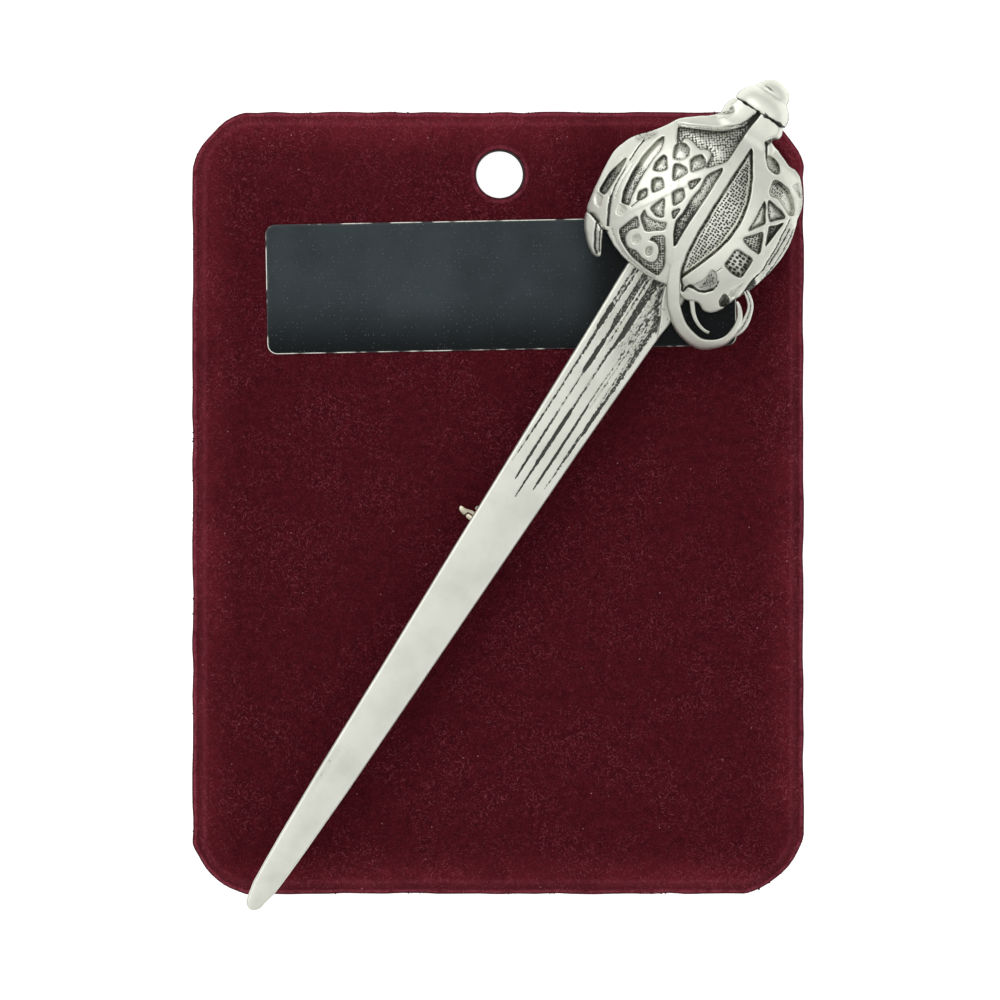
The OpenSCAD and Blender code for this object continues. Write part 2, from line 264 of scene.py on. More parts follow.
@dataclass(frozen=True)
class FlockedPile(Finish):
    """Burgundy nylon flock, blown upright on to a formed polystyrene tray.

    The eye sees a deep matt red, lighter where handling brushed it towards the rim, with short
    curls of pale and dark fibre lying on it in drifts and a few specks of lint.

    Attributes:
        deep, lit: colours between the fibres and on their tips; deep is also the colour of painted shade.
        brushed, worn: colours where handling brushed the pile, and where it wore to its backing or is painted
            with a highlight.
        bloom: colour of the bloom on slopes.
        curl, lint: colours of stray fibres and of lint.
        fibre_mm: size of the fine grain in mm.
        middle_y, half: the card's middle, and half its width and height, in mm.
        wear: how much the brushed colour shows.
    """

    deep: str = "#1E060B"
    lit: str = "#56161E"
    brushed: str = "#B43E4D"
    worn: str = "#964456"
    bloom: str = "#B4506A"
    curl: str = "#9C505C"
    lint: str = "#C89096"
    fibre_mm: float = 0.16
    middle_y: float = -0.875
    half: Pair = (31.05, 39.75)
    wear: float = 0.42

    def handled(self, add: Adder, mm: Node, uneven: Node) -> Node:
        """How far the pile is brushed flat: it grows towards the rim, and most towards the top.

        Args:
            add: adds a node to the material.
            mm: coordinates in mm.
            uneven: noise from 0 to 1 that breaks it up.

        Returns:
            The node whose first output is the share from 0 to 1.
        """
        centred = add("Mapping", {0: mm, "Location": (0, -self.middle_y, 0)})
        sides = add("VectorMath", {0: centred}, **UNSIGNED)
        inwards = add("VectorMath", {0: (*self.half, 0), 1: sides}, **MINUS)
        parts = add("SeparateXYZ", {0: inwards})
        both_ways = {0: parts.outputs["X"], 1: parts.outputs["Y"]}
        near = add("Math", both_ways, operation="MINIMUM")
        rim = add("MapRange", {0: near, 1: 1.0, 2: 5.0, 3: 0.3, 4: 0.0}, **SOFT)
        upright = add("SeparateXYZ", {0: centred}).outputs["Y"]
        top = add("MapRange", {0: upright, 1: 28.0, 2: 38.0, 4: 0.14}, **SOFT)
        both = add("Math", {0: rim, 1: top}, **PLUS)
        return add("Math", {0: both, 1: uneven}, **TIMES)

    def curls(self, add: Adder, mm: Node, per_mm: float, reach: float, thick: float) -> Node:
        """Short bent fibres, one in each cell of a Voronoi pattern. From the cell's middle, turned
        by a random angle, a fibre is where |v + b u^2| is under thick and |u| is under reach. The
        cell's random colour gives its angle, its bend b and how clearly it shows.

        Args:
            add: adds a node to the material.
            mm: coordinates in mm.
            per_mm: cells for each mm.
            reach: half a fibre's length in mm.
            thick: half its width in mm, drawn as wide as it needs to show.

        Returns:
            The node whose first output is 1 on a fibre.
        """
        cell = add("TexVoronoi", {"Vector": mm, "Scale": per_mm}, **FLAT)
        local = add("VectorMath", {0: mm, 1: cell.outputs["Position"]}, **MINUS)
        chance = add("SeparateXYZ", {0: cell.outputs["Color"]})
        angle = add("Math", {0: chance, 1: 25.0}, **TIMES)
        turned = add("VectorRotate", {"Vector": local, "Angle": angle}, rotation_type="Z_AXIS")
        parts = add("SeparateXYZ", {0: turned})
        u, v = parts.outputs["X"], parts.outputs["Y"]
        square = add("Math", {0: u, 1: u}, **TIMES)
        bend = add("MapRange", {0: chance.outputs["Y"], 3: -4.0, 4: 4.0})
        bent = add("Math", {0: square, 1: bend, 2: v}, **TIMES_PLUS)
        across = add("Math", {0: bent}, **UNSIGNED)
        along = add("Math", {0: u}, **UNSIGNED)
        line = add("MapRange", {0: across, 1: 0.3 * thick, 2: thick, 3: 1.0, 4: 0.0})
        end = add("MapRange", {0: along, 1: 0.6 * reach, 2: reach, 3: 1.0, 4: 0.0})
        clear = add("MapRange", {0: chance.outputs["Z"], 1: 0.25})
        shape = add("Math", {0: line, 1: end}, **TIMES)
        return add("Math", {0: clear, 1: shape}, **TIMES)

    def dress(self, add: Adder, mm: Node) -> Inputs:
        """Lays the pile's colours over each other. The mesh's stain attribute says where the pile is
        worn or painted with a highlight, above zero, and where shade is painted on it, below.

        Args:
            add: adds a node to the material.
            mm: coordinates in mm.

        Returns:
            The shader's inputs.
        """
        # Spots for each mm, and the noise values that turn to 0 and to 1.
        spans = (
            (1 / self.fibre_mm, 0.25, 0.75),
            (1.0, 0.3, 0.75),
            (0.16, 0.2, 0.7),
            (1.3, 0.25, 0.6),
            (0.22, 0.42, 0.62),
        )
        noises = []
        for scale, low, high in spans:
            raw = add("TexNoise", {"Vector": mm, "Scale": scale, **CLOUDY})
            noises.append(add("MapRange", {0: raw, 1: low, 2: high}))
        grain, drift, touch, patchy, sweep = noises
        both = add("Math", {0: drift, 1: 0.5, 2: grain}, **TIMES_PLUS)
        lift = add("MapRange", {0: both, 1: 0.25, 2: 1.25, 3: 0.22, 4: 0.9})
        handled = self.handled(add, mm, touch)
        brushed = add("Math", {0: handled, 1: self.wear}, **TIMES)
        # Stain above zero gives the worn colour, partly painted highlight; below zero the deep colour as
        # painted shade.
        tone = add("Attribute", attribute_name="stain").outputs["Fac"]
        flat = add("MapRange", {0: tone})
        worn = add("Math", {0: flat, 1: patchy}, **TIMES)
        shaded = add("MapRange", {0: tone, 2: -1.0})
        coats = [(lift, self.lit), (brushed, self.brushed), (worn, self.worn), (shaded, self.deep)]
        often = add("Math", {0: handled, 1: 1.2, 2: sweep}, **TIMES_PLUS)
        amount = add("MapRange", {0: often, 2: 1.4, 3: 0.16, 4: 0.75})
        # Curls for each mm, half a curl's length and width in mm, how clearly they show, and colour.
        layers = (
            (1.9, 0.2, 0.07, 1.0, self.deep),
            (3.3, 0.11, 0.05, 0.6, self.curl),
            (2.4, 0.18, 0.045, 0.65, self.curl),
            (1.3, 0.3, 0.05, 0.8, self.curl),
        )
        for per_mm, reach, thick, strength, colour in layers:
            found = self.curls(add, mm, per_mm, reach, thick)
            share = add("Math", {0: found, 1: amount}, **TIMES)
            coats.append((add("Math", {0: share, 1: strength}, **TIMES), colour))
        speck = add("TexVoronoi", {"Vector": mm, "Scale": 0.3}, **FLAT)
        dot = add("MapRange", {0: speck, 1: 0.008, 2: 0.024, 3: 0.7, 4: 0.0})
        chance = add("MapRange", {0: speck.outputs["Color"], 1: 0.5, 2: 0.9})
        coats.append((add("Math", {0: dot, 1: chance}, **TIMES), self.lint))
        pile = linear(self.deep)
        for share, colour in coats:
            pile = add("Mix", {0: share, 6: pile, 7: linear(colour)}, **COLOUR).outputs[2]
        soft = add("Bump", {"Strength": 0.9, "Distance": 0.00012, "Height": both})
        sheen = {"Sheen Weight": 0.03, "Sheen Roughness": 0.5, "Sheen Tint": linear(self.bloom)}
        return {"Base Color": pile, "Roughness": 1.0, "Specular IOR Level": 0.02, "Normal": soft, **sheen}


@dataclass(frozen=True)
class PunchedStyrene(Finish):
    """The tray's dark polystyrene, which shows as a thin dark line where the hole was punched."""

    plastic: str = "#180C0E"

    def dress(self, add: Adder, mm: Node) -> Inputs:
        """Gives the plastic a torn skin.

        Args:
            add: adds a node to the material.
            mm: coordinates in mm.

        Returns:
            The shader's inputs.
        """
        torn = add("TexNoise", {"Vector": mm, "Scale": 3.0, "Detail": 2.0})
        skin = add("Bump", {"Strength": 0.5, "Distance": 0.00005, "Height": torn})
        return {"Base Color": linear(self.plastic), "Roughness": 0.7, "Normal": skin}


@dataclass(frozen=True)
class GlossFilm(Finish):
    """Black vinyl film with a satin laminate.

    The eye sees a deep greenish black, with a grey haze over its middle, painted in as reflected
    light, that fades out towards its foot and is painted out beside the sword as its shadow, and pale dust.
    """

    ink: str = "#04080A"
    haze: str = "#31383B"
    dust: str = "#8A9498"
    gloss: float = 0.2
    # Where in mm the painted reflection begins and is full along the card, and where across it the
    # reflection is full and is almost gone in the sword's painted shadow.
    low_y: float = 13.6
    high_y: float = 21.0
    clear_x: float = 7.0
    dark_x: float = 11.5

    def dress(self, add: Adder, mm: Node) -> Inputs:
        """Lays the haze and then the dust over the ink.

        Args:
            add: adds a node to the material.
            mm: coordinates in mm.

        Returns:
            The shader's inputs.
        """
        place = add("SeparateXYZ", {0: mm})
        # Painted reflection, fuller towards the label's top.
        rise = add("MapRange", {0: place.outputs["Y"], 1: self.low_y, 2: self.high_y}, **SOFT)
        # Painted shadow of the sword: the reflection is almost gone beside it.
        beside = {1: self.clear_x, 2: self.dark_x, 3: 1.0, 4: 0.12}
        sword_shadow = add("MapRange", {0: place, **beside}, **SOFT)
        cloud = add("TexNoise", {"Vector": mm, "Scale": 0.13, "Detail": 4.0, "Roughness": 0.55})
        uneven = add("MapRange", {0: cloud, 1: 0.3, 2: 0.7, 3: 0.6, 4: 1.1})
        level = add("Math", {0: rise, 1: sword_shadow}, **TIMES)
        share = add("Math", {0: level, 1: uneven}, **TIMES)
        film = add("Mix", {0: share, 6: linear(self.ink), 7: linear(self.haze)}, **COLOUR)
        dust = add("TexVoronoi", {"Vector": mm, "Scale": 2.4}, **FLAT)
        grain = add("MapRange", {0: dust, 1: 0.03, 2: 0.1, 3: 0.8, 4: 0.0})
        drift = add("TexNoise", {"Vector": mm, "Scale": 0.35, "Detail": 3.0, "Roughness": 0.7})
        often = add("Math", {0: drift, 1: dust.outputs["Color"]}, **TIMES)
        chance = add("MapRange", {0: often, 1: 0.26, 2: 0.5})
        spot = add("Math", {0: grain, 1: chance}, **TIMES)
        colour = add("Mix", {0: spot, 6: film.outputs[2], 7: linear(self.dust)}, **COLOUR)
        wave = add("TexNoise", {"Vector": mm, "Scale": 0.22, "Detail": 2.0, "Roughness": 0.5})
        bump = add("Bump", {"Strength": 0.25, "Distance": 0.0003, "Height": wave})
        satin = {"Roughness": self.gloss, "Specular IOR Level": 0.12}
        return {"Base Color": colour.outputs[2], "Normal": bump, **satin}


@dataclass(frozen=True)
class CutCore(Finish):
    """The die-cut edge of the film's pale backing, which shows as a thin silvery line."""

    pale: str = "#D2D2C8"
    soiled: str = "#2A2426"

    def dress(self, add: Adder, mm: Node) -> Inputs:
        """Soils the pale core in places.

        Args:
            add: adds a node to the material.
            mm: coordinates in mm.

        Returns:
            The shader's inputs.
        """
        soil = add("TexNoise", {"Vector": mm, "Scale": 0.42, "Detail": 2.0})
        worn = add("MapRange", {0: soil, 1: 0.44, 2: 0.54})
        colour = add("Mix", {0: worn, 6: linear(self.pale), 7: linear(self.soiled)}, **COLOUR)
        return {"Base Color": colour.outputs[2], "Roughness": 0.6}


@dataclass(frozen=True)
class PlatedBrass(Finish):
    """Stamped brass with a thin, pale nickel wash, as on bought-in pin fittings.

    The eye sees a pale, slightly warm metal with soft tool marks.
    """

    metal: str = "#E2DBCB"
    tarnish: str = "#8A8468"

    def dress(self, add: Adder, mm: Node) -> Inputs:
        """Clouds the wash with tarnish, which is also rougher.

        Args:
            add: adds a node to the material.
            mm: coordinates in mm.

        Returns:
            The shader's inputs.
        """
        noise = add("TexNoise", {"Vector": mm, "Scale": 1.6, **CLOUDY})
        colour = add("Mix", {0: noise, 6: linear(self.metal), 7: linear(self.tarnish)}, **COLOUR)
        rough = add("MapRange", {0: noise, 3: 0.2, 4: 0.45})
        marks = add("Bump", {"Strength": 0.3, "Distance": 0.00004, "Height": noise})
        return {"Base Color": colour.outputs[2], "Metallic": 1.0, "Roughness": rough, "Normal": marks}


@dataclass(frozen=True)
class StudioPaper(Finish):
    """A white acrylic table lit softly from below, which the object lies on."""

    white: str = "#D0D0CE"
    glow: float = 0.8

    def dress(self, add: Adder, mm: Node) -> Inputs:
        """Gives a matt white that glows: no node of its own."""
        glow = {"Emission Color": (1, 1, 1, 1), "Emission Strength": self.glow}
        return {"Base Color": linear(self.white), "Roughness": 0.9, "Specular IOR Level": 0.0, **glow}


# Shapes

STRETCH_STEPS = 24
TINY = 1e-12


def corner_cut(loop: Array, passes: int = 2, share: float = 0.25) -> Array:
    """Rounds a closed outline by cutting its corners: each side loses a share at both its ends.

    Args:
        loop: the outline's points, one row each.
        passes: how often the corners are cut.
        share: the share that is cut off.

    Returns:
        The rounded outline.
    """
    for _ in range(passes):
        ahead = np.roll(loop, -1, axis=0)
        near, far = loop + share * (ahead - loop), ahead - share * (ahead - loop)
        loop = np.stack([near, far], axis=1).reshape(-1, 2)
    return loop


def smooth_path(points: Array, count: int) -> Array:
    """Draws a smooth curve through the rows: on each stretch a cubic whose slope at a row is half
    the step between its neighbours, then points at equal steps along it.

    Args:
        points: rows of coordinates, and of whatever else varies along the path.
        count: number of rows wanted.

    Returns:
        The curve's rows.
    """
    padded = np.vstack([2 * points[0] - points[1], points, 2 * points[-1] - points[-2]])
    a, b, c, d = padded[:-3], padded[1:-2], padded[2:-1], padded[3:]
    t = np.linspace(0, 1, STRETCH_STEPS, endpoint=False)[None, :, None]
    a, b, c, d = (rows[:, None, :] for rows in (a, b, c, d))
    curve = 0.5 * (2 * b + (c - a) * t + (2 * a - 5 * b + 4 * c - d) * t**2 + (3 * b - a - 3 * c + d) * t**3)
    dense = np.vstack([curve.reshape(-1, points.shape[1]), points[-1:]])
    step = np.linalg.norm(np.diff(dense[:, :2], axis=0), axis=1)
    along = np.concatenate([[0], np.cumsum(step)])
    wanted = np.linspace(0, along[-1], count)
    return np.stack([np.interp(wanted, along, column) for column in dense.T], axis=1)


def segment_distance(points: Array, start: Array, end: Array) -> tuple[Array, Array]:
    """Distance from each point to each straight stretch, from the foot of its perpendicular.

    Args:
        points: N points.
        start: M first ends.
        end: M second ends.

    Returns:
        The N by M distances, and how far along its stretch each foot lies, from 0 to 1.
    """
    along = end - start
    gap = points[:, None] - start
    share = np.clip((gap * along).sum(-1) / np.maximum((along**2).sum(-1), TINY), 0, 1)
    return np.linalg.norm(gap - share[..., None] * along, axis=-1), share


def inside_distance(points: Array, loop: Array, reach: float = 1.2) -> Array:
    """Signed distance to a closed outline, positive inside: the least distance to its sides, with
    the sign from how often a ray to the right crosses it. Points past reach get minus reach.

    Args:
        points: N points in mm.
        loop: the outline in mm.
        reach: how far outside the outline it is worked out.

    Returns:
        N distances in mm.
    """
    out = np.full(len(points), -reach)
    low, high = loop.min(0) - reach, loop.max(0) + reach
    near = np.flatnonzero(((points >= low) & (points <= high)).all(1))
    start, end = loop, np.roll(loop, -1, axis=0)
    rise = np.where(start[:, 1] == end[:, 1], TINY, end[:, 1] - start[:, 1])
    pairs_at_once = 3_000_000
    for part in np.array_split(near, 1 + len(near) * len(loop) // pairs_at_once):
        p = points[part]
        gap = segment_distance(p, start, end)[0].min(1)
        across = (start[:, 1] > p[:, 1:]) != (end[:, 1] > p[:, 1:])
        cut = start[:, 0] + (p[:, 1:] - start[:, 1]) / rise * (end[:, 0] - start[:, 0])
        odd = ((p[:, :1] < cut) & across).sum(1) % 2 == 1
        out[part] = np.where(odd, gap, -gap)
    return np.maximum(out, -reach)


def ease(value: Array, low: float, high: float) -> Array:
    """Smooth step from 0 at low to 1 at high, 3x^2 - 2x^3 between them."""
    x = np.clip((value - low) / (high - low), 0, 1)
    return x * x * (3 - 2 * x)


def ripple(count: int, step: float, seed: int) -> Array:
    """Smooth random line from 0 to 1: random values every step, eased between them.

    Args:
        count: number of values.
        step: values between two random knots.
        seed: seed of the random values.

    Returns:
        The line's values.
    """
    knots = np.random.default_rng(seed).random(int(count / step) + 3)
    x = np.arange(count) / step
    left = x.astype(int)
    share = ease(x - left, 0, 1)
    return knots[left] * (1 - share) + knots[left + 1] * share


def full_turn(steps: int) -> Array:
    """Angles of equal steps round a circle, in radians."""
    return np.linspace(0, 2 * math.pi, steps, endpoint=False)


@dataclass(frozen=True)
class SwordFrame:
    """The sword's own frame: x across the blade, y from tip to pommel, z up, all in mm."""

    tip_x: float
    tip_y: float
    lean: float
    back_z: float

    def place(self, points: Array) -> Array:
        """Turns points of the sword's frame by its lean, moves them to its tip, and gives metres.

        Args:
            points: rows of x, y, z in mm.

        Returns:
            Rows of x, y, z in metres, in the model's frame.
        """
        x, y, z = points[..., 0], points[..., 1], points[..., 2]
        cos, sin = math.cos(self.lean), math.sin(self.lean)
        return np.stack([self.tip_x + x * cos + y * sin, self.tip_y - x * sin + y * cos, z], axis=-1) * MM


def read_sword_frame() -> SwordFrame:
    """Works out the sword's place. Its lean and how far to the side its tip lies are the part's own
    sizes, and the low edge of the whole part's box is the rounded tip.

    Returns:
        The sword's frame.
    """
    lean = math.radians(32.88)
    tip_x, tip_radius = -25.25, 0.5
    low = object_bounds()[0]
    blade_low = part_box("blade")[0]
    return SwordFrame(tip_x, low.y / MM + tip_radius * (1 - math.cos(lean)), lean, blade_low.z / MM)


# Meshes


def make_piece(
    name: str,
    points: Array,
    faces: Array | list[tuple[int, ...]],
    material: Material,
    node: str,
    stain: Array | None = None,
    sharp: float = 50.0,
) -> Piece:
    """Puts a mesh in the scene, dresses it, and hides the CAD node that it stands for.

    Args:
        name: the piece's name.
        points: rows of x, y, z in metres.
        faces: rows of point numbers.
        material: its finish.
        node: the CAD node that it replaces.
        stain: how dark the patina lies at each point, from 0 to 1.
        sharp: angle in degrees past which an edge is drawn sharp.

    Returns:
        The new object.
    """
    mesh = bpy.data.meshes.new(name)
    rows = faces.tolist() if isinstance(faces, Array) else faces
    mesh.from_pydata(points.tolist(), [], rows)
    mesh.validate()
    mesh.update()
    if stain is not None:
        layer = mesh.attributes.new("stain", "FLOAT", "POINT")
        layer.data.foreach_set("value", np.ascontiguousarray(stain, dtype=np.float32))
    mesh.shade_smooth()
    mesh.set_sharp_from_angle(angle=math.radians(sharp))
    mesh.materials.append(material)
    piece = bpy.data.objects.new(name, mesh)
    bpy.context.scene.collection.objects.link(piece)
    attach(piece, "root")
    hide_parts(node)
    LOG.info("%s: %d points, %d faces", name, len(mesh.vertices), len(mesh.polygons))
    return piece


def tube_faces(rings: int, around: int) -> list[tuple[int, ...]]:
    """Faces of a closed tube of rings with flat ends: quads between rings, one face at each end.

    Args:
        rings: number of rings.
        around: points in a ring.

    Returns:
        Rows of point numbers.
    """
    ring, turn = np.meshgrid(np.arange(rings - 1), np.arange(around), indexing="ij")
    ahead = (turn + 1) % around
    here, there = ring * around, (ring + 1) * around
    quads = np.stack([here + turn, here + ahead, there + ahead, there + turn], axis=-1).reshape(-1, 4)
    ends = [tuple(range(around))[::-1], tuple(range((rings - 1) * around, rings * around))]
    return [tuple(row) for row in quads.tolist()] + ends


def rounded_loop(
    width: float,
    height: float,
    radius: float | Array,
    power: float = 2.0,
    steps: int = 1,
    around: int = 12,
) -> Array:
    """Outline of a rounded rectangle about the origin: four corners where |x|^power + |y|^power is
    radius^power, joined by straights.

    Args:
        width: full width in mm.
        height: full height in mm.
        radius: corner radius in mm, or one for each corner, anticlockwise from the upper right.
        power: 2 for quarter circles, less for flatter corners.
        steps: steps along each straight.
        around: steps in each corner.

    Returns:
        The outline's points, anticlockwise.
    """
    turn = np.linspace(0, math.pi / 2, around + 1)
    arc = np.stack([np.cos(turn), np.sin(turn)], axis=1).clip(0) ** (2 / power)
    radii = np.broadcast_to(radius, 4)
    parts = []
    for quarter, (x, y) in enumerate(((1, 1), (-1, 1), (-1, -1), (1, -1))):
        cos, sin = (1, 0, -1, 0)[quarter], (0, 1, 0, -1)[quarter]
        r = radii[quarter]
        corner = r * arc @ np.array([[cos, sin], [-sin, cos]])
        parts.append(corner + [x * (width / 2 - r), y * (height / 2 - r)])
    share = np.linspace(0, 1, steps + 1)[1:-1, None]
    ahead = parts[1:] + parts[:1]
    sides = [here[-1] * (1 - share) + there[0] * share for here, there in zip(parts, ahead)]
    return np.concatenate([part for pair in zip(parts, sides) for part in pair])


def cut_away(piece: Piece, cutters: list[Piece]) -> None:
    """Cuts holes in a piece with closed bodies, applies the cuts, and deletes the bodies.

    Args:
        piece: the object that is cut.
        cutters: the closed bodies.
    """
    for cutter in cutters:
        boolean = piece.modifiers.new("hole", "BOOLEAN")
        boolean.object = cutter
        boolean.operation = "DIFFERENCE"
        boolean.solver = "EXACT"
    bpy.context.view_layer.update()
    evaluated = piece.evaluated_get(bpy.context.evaluated_depsgraph_get())
    mesh = bpy.data.meshes.new_from_object(evaluated)
    piece.modifiers.clear()
    old, piece.data = piece.data, mesh
    bpy.data.meshes.remove(old)
    for cutter in cutters:
        shape = cutter.data
        bpy.data.objects.remove(cutter)
        bpy.data.meshes.remove(shape)


def prism(name: str, outline: Array, low: float, high: float) -> Piece:
    """Makes an upright closed body that cuts a hole.

    Args:
        name: the body's name.
        outline: its outline in metres.
        low: its lower end in metres.
        high: its upper end in metres.

    Returns:
        The body, in the scene.
    """
    rings = [np.column_stack([outline, np.full(len(outline), z)]) for z in (low, high)]
    mesh = bpy.data.meshes.new(name)
    mesh.from_pydata(np.concatenate(rings).tolist(), [], tube_faces(2, len(outline)))
    body = bpy.data.objects.new(name, mesh)
    bpy.context.scene.collection.objects.link(body)
    return body


# Card and label


@dataclass
class Card:
    """The flocked display card: a thin formed tray with a flange, a sloped edge and a flat face. Its
    sizes are in mm. The punch sat a little across from the rolled rim, and the slots' places are
    along the sword."""

    sword: SwordFrame
    corners: tuple[float, float, float, float] = (5.5, 5.7, 5.4, 6.0)
    flange: float = 0.6
    bevel: float = 0.6
    wall: float = 0.8
    hole_radius: float = 2.46
    hole_drop: float = 6.25
    hole_x: float = 0.2
    hole_steps: int = 72
    punch_reach: Pair = (0.5, 5.0)
    punch_shift: Pair = (-0.05, -0.05)
    slot_width: float = 1.7
    slots: Loop = ((48.6, 58.3), (66.5, 76.2))
    slot_reach: Pair = (1.2, 4.5)
    finish: FlockedPile = field(default_factory=FlockedPile)
    fibres: int = 12000
    fibre_thick: float = 0.024
    fibre_lean: float = 0.16
    tufts: int = 700
    flat_corner: float = 1.58
    least_corner: float = 1.5
    side_steps: int = 60
    fuzz: float = 0.16
    fuzz_step: float = 2.3

    def __post_init__(self) -> None:
        """Reads the card's size and place from the frame."""
        low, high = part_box("card")
        self.width, self.height = (high.x - low.x) / MM, (high.y - low.y) / MM
        self.middle = (high.y + low.y) / 2 / MM
        self.face = high.z / MM
        self.hole = (self.hole_x, self.middle + self.height / 2 - self.hole_drop)

    def slot_bodies(self) -> list[Piece]:
        """Makes closed bodies of the two openings that the stem is threaded through.

        Returns:
            The bodies, in the scene.
        """
        half = self.slot_width / 2
        bottom, top = (z * MM for z in self.slot_reach)
        bodies = []
        for low, high in self.slots:
            corners = np.array([[-half, low, 0], [half, low, 0], [half, high, 0], [-half, high, 0]])
            outline = self.sword.place(corners)[:, :2]
            bodies.append(prism("slot", outline, bottom, top))
        return bodies

    def shell(self, material: Material) -> None:
        """The tray: one profile carried round the rounded rectangle, from the underside's middle
        out over the flange, up the slope and in to the middle of the face. The outline wavers a
        little, as flock does.

        Args:
            material: the flock.
        """
        under = self.flange + self.bevel + self.wall
        face, wall = self.face, self.wall
        crest = self.flange + self.bevel
        # How far in and how high each row lies in mm, and the pile's tone there: below zero painted shade
        # on the flange's outer wall and at the slope's foot, above zero the worn colour on the flange and a
        # painted highlight along the crest.
        rows = [
            (under + 2, face - wall, 0), (under, face - wall - 0.1, 0), (under, 0.0, 0), (0.1, 0.0, 0),
            (0.0, 0.12, -0.6), (0.0, wall - 0.25, -0.6), (0.05, wall - 0.1, -0.4),
            (0.1, wall - 0.03, 0.1), (0.17, wall + 0.01, 0.55), (0.25, wall + 0.05, 0.6),
            (0.33, wall + 0.1, 0.35), (0.42, wall + 0.22, 0.1), (0.52, wall + 0.42, -0.1),
            (0.62, wall + 0.7, -0.1), (0.76, face - 1.0, -0.05), (0.9, face - 0.55, 0),
            (1.02, face - 0.24, 0.08), (1.12, face - 0.1, 0.18), (crest + 0.06, face - 0.04, 0.16),
            (crest + 0.2, face - 0.01, 0.06), (crest + 0.4, face, 0), (crest + 1.2, face, 0),
        ]
        rings = []
        for inset, height, _ in rows:
            size = (self.width - 2 * inset, self.height - 2 * inset)
            radii = np.maximum(np.array(self.corners) - inset, self.least_corner)
            loop = rounded_loop(*size, radii, self.flat_corner, self.side_steps)
            along = np.roll(loop, -1, axis=0) - np.roll(loop, 1, axis=0)
            outwards = np.stack([along[:, 1], -along[:, 0]], 1) / np.linalg.norm(along, axis=1)[:, None]
            waver = self.fuzz * ripple(len(loop), self.fuzz_step, SEED) * max(1 - inset, 0)
            loop = loop + outwards * waver[:, None] + [0, self.middle]
            rings.append(np.column_stack([loop, np.full(len(loop), height)]))
        around = len(rings[0])
        tone = np.repeat([row[2] for row in rows], around)
        points, faces = np.concatenate(rings) * MM, tube_faces(len(rows), around)
        tray = make_piece("card_tray", points, faces, material, "card", tone, 70)
        turn = full_turn(self.hole_steps)
        ring = np.stack([np.cos(turn), np.sin(turn)], axis=1) * (self.hole_radius + 0.2) + self.hole
        bottom, top = (z * MM for z in self.punch_reach)
        cut_away(tray, [prism("punch", ring * MM, bottom, top), *self.slot_bodies()])

    def turned_ring(self, name: str, profile: Array, shift: Pair, material: Material) -> None:
        """Turns a closed profile about the hang hole's axis.

        Args:
            name: the ring's name.
            profile: radius, height and stain of its corners, in mm.
            shift: how far the inner half of the profile is moved across, in mm.
            material: its finish.
        """
        turn = full_turn(self.hole_steps)
        inner = (profile[:, 0] < self.hole_radius)[None, :]
        x = self.hole[0] + profile[None, :, 0] * np.cos(turn)[:, None] + inner * shift[0]
        y = self.hole[1] + profile[None, :, 0] * np.sin(turn)[:, None] + inner * shift[1]
        points = np.stack([x, y, np.broadcast_to(profile[:, 1], x.shape)], axis=-1).reshape(-1, 3) * MM
        side, ring = len(profile), len(turn)
        i, j = np.meshgrid(np.arange(ring), np.arange(side), indexing="ij")
        i2, j2 = (i + 1) % ring, (j + 1) % side
        faces = np.stack([i * side + j, i2 * side + j, i2 * side + j2, i * side + j2], -1).reshape(-1, 4)
        make_piece(name, points, faces, material, "card", np.tile(profile[:, 2], ring))

    def hole_rim(self, flock: Material, plastic: Material) -> None:
        """The hang hole: a rolled rim of flock, and inside it the punched wall of the tray.

        Args:
            flock: the flock.
            plastic: the tray's own plastic.
        """
        r, face, wall = self.hole_radius, self.face, self.wall
        # Tone of each row: painted shade down the rim's inner side, and a painted highlight on the rolled lip
        # round it.
        rim = np.array([
            (r + 0.62, face - wall, 0), (r + 0.06, face - wall, -0.8), (r + 0.03, face - 0.3, -0.8),
            (r + 0.07, face - 0.1, -0.4), (r + 0.15, face - 0.01, 0.3), (r + 0.28, face + 0.012, 0.4),
            (r + 0.45, face + 0.012, 0.2), (r + 0.62, face - 0.004, 0),
        ])
        punched = np.array([
            (r + 0.1, face - wall, 0), (r - 0.1, face - wall, 0), (r - 0.09, face - 0.4, 0),
            (r + 0.04, face - 0.2, 0), (r + 0.1, face - 0.2, 0),
        ])
        self.turned_ring("card_hole_rim", rim, (0, 0), flock)
        self.turned_ring("card_hole_wall", punched, self.punch_shift, plastic)

    def pile(self, material: Material) -> None:
        """Single fibres that stand out of the flock, each a thin three-sided spike: its foot is a
        triangle and its tip leans a random way. Along the flange tufts lie out over the edge.

        Args:
            material: the flock.
        """
        random = np.random.default_rng(SEED)
        # Feet and tips of the fibres on the face, clear of the hole.
        inset = self.flange + self.bevel + 0.3
        size = np.array([self.width - 2 * inset - 2, self.height - 2 * inset - 2])
        foot = (random.random((self.fibres, 2)) - 0.5) * size + [0, self.middle]
        clear = np.linalg.norm(foot - self.hole, axis=1) > self.hole_radius + 0.5
        foot = foot[clear]
        foot = np.column_stack([foot, np.full(len(foot), self.face - 0.02)])
        lean = random.normal(0, self.fibre_lean, (len(foot), 2))
        tip = foot + np.column_stack([lean, 0.06 + 0.1 * random.random(len(foot))])
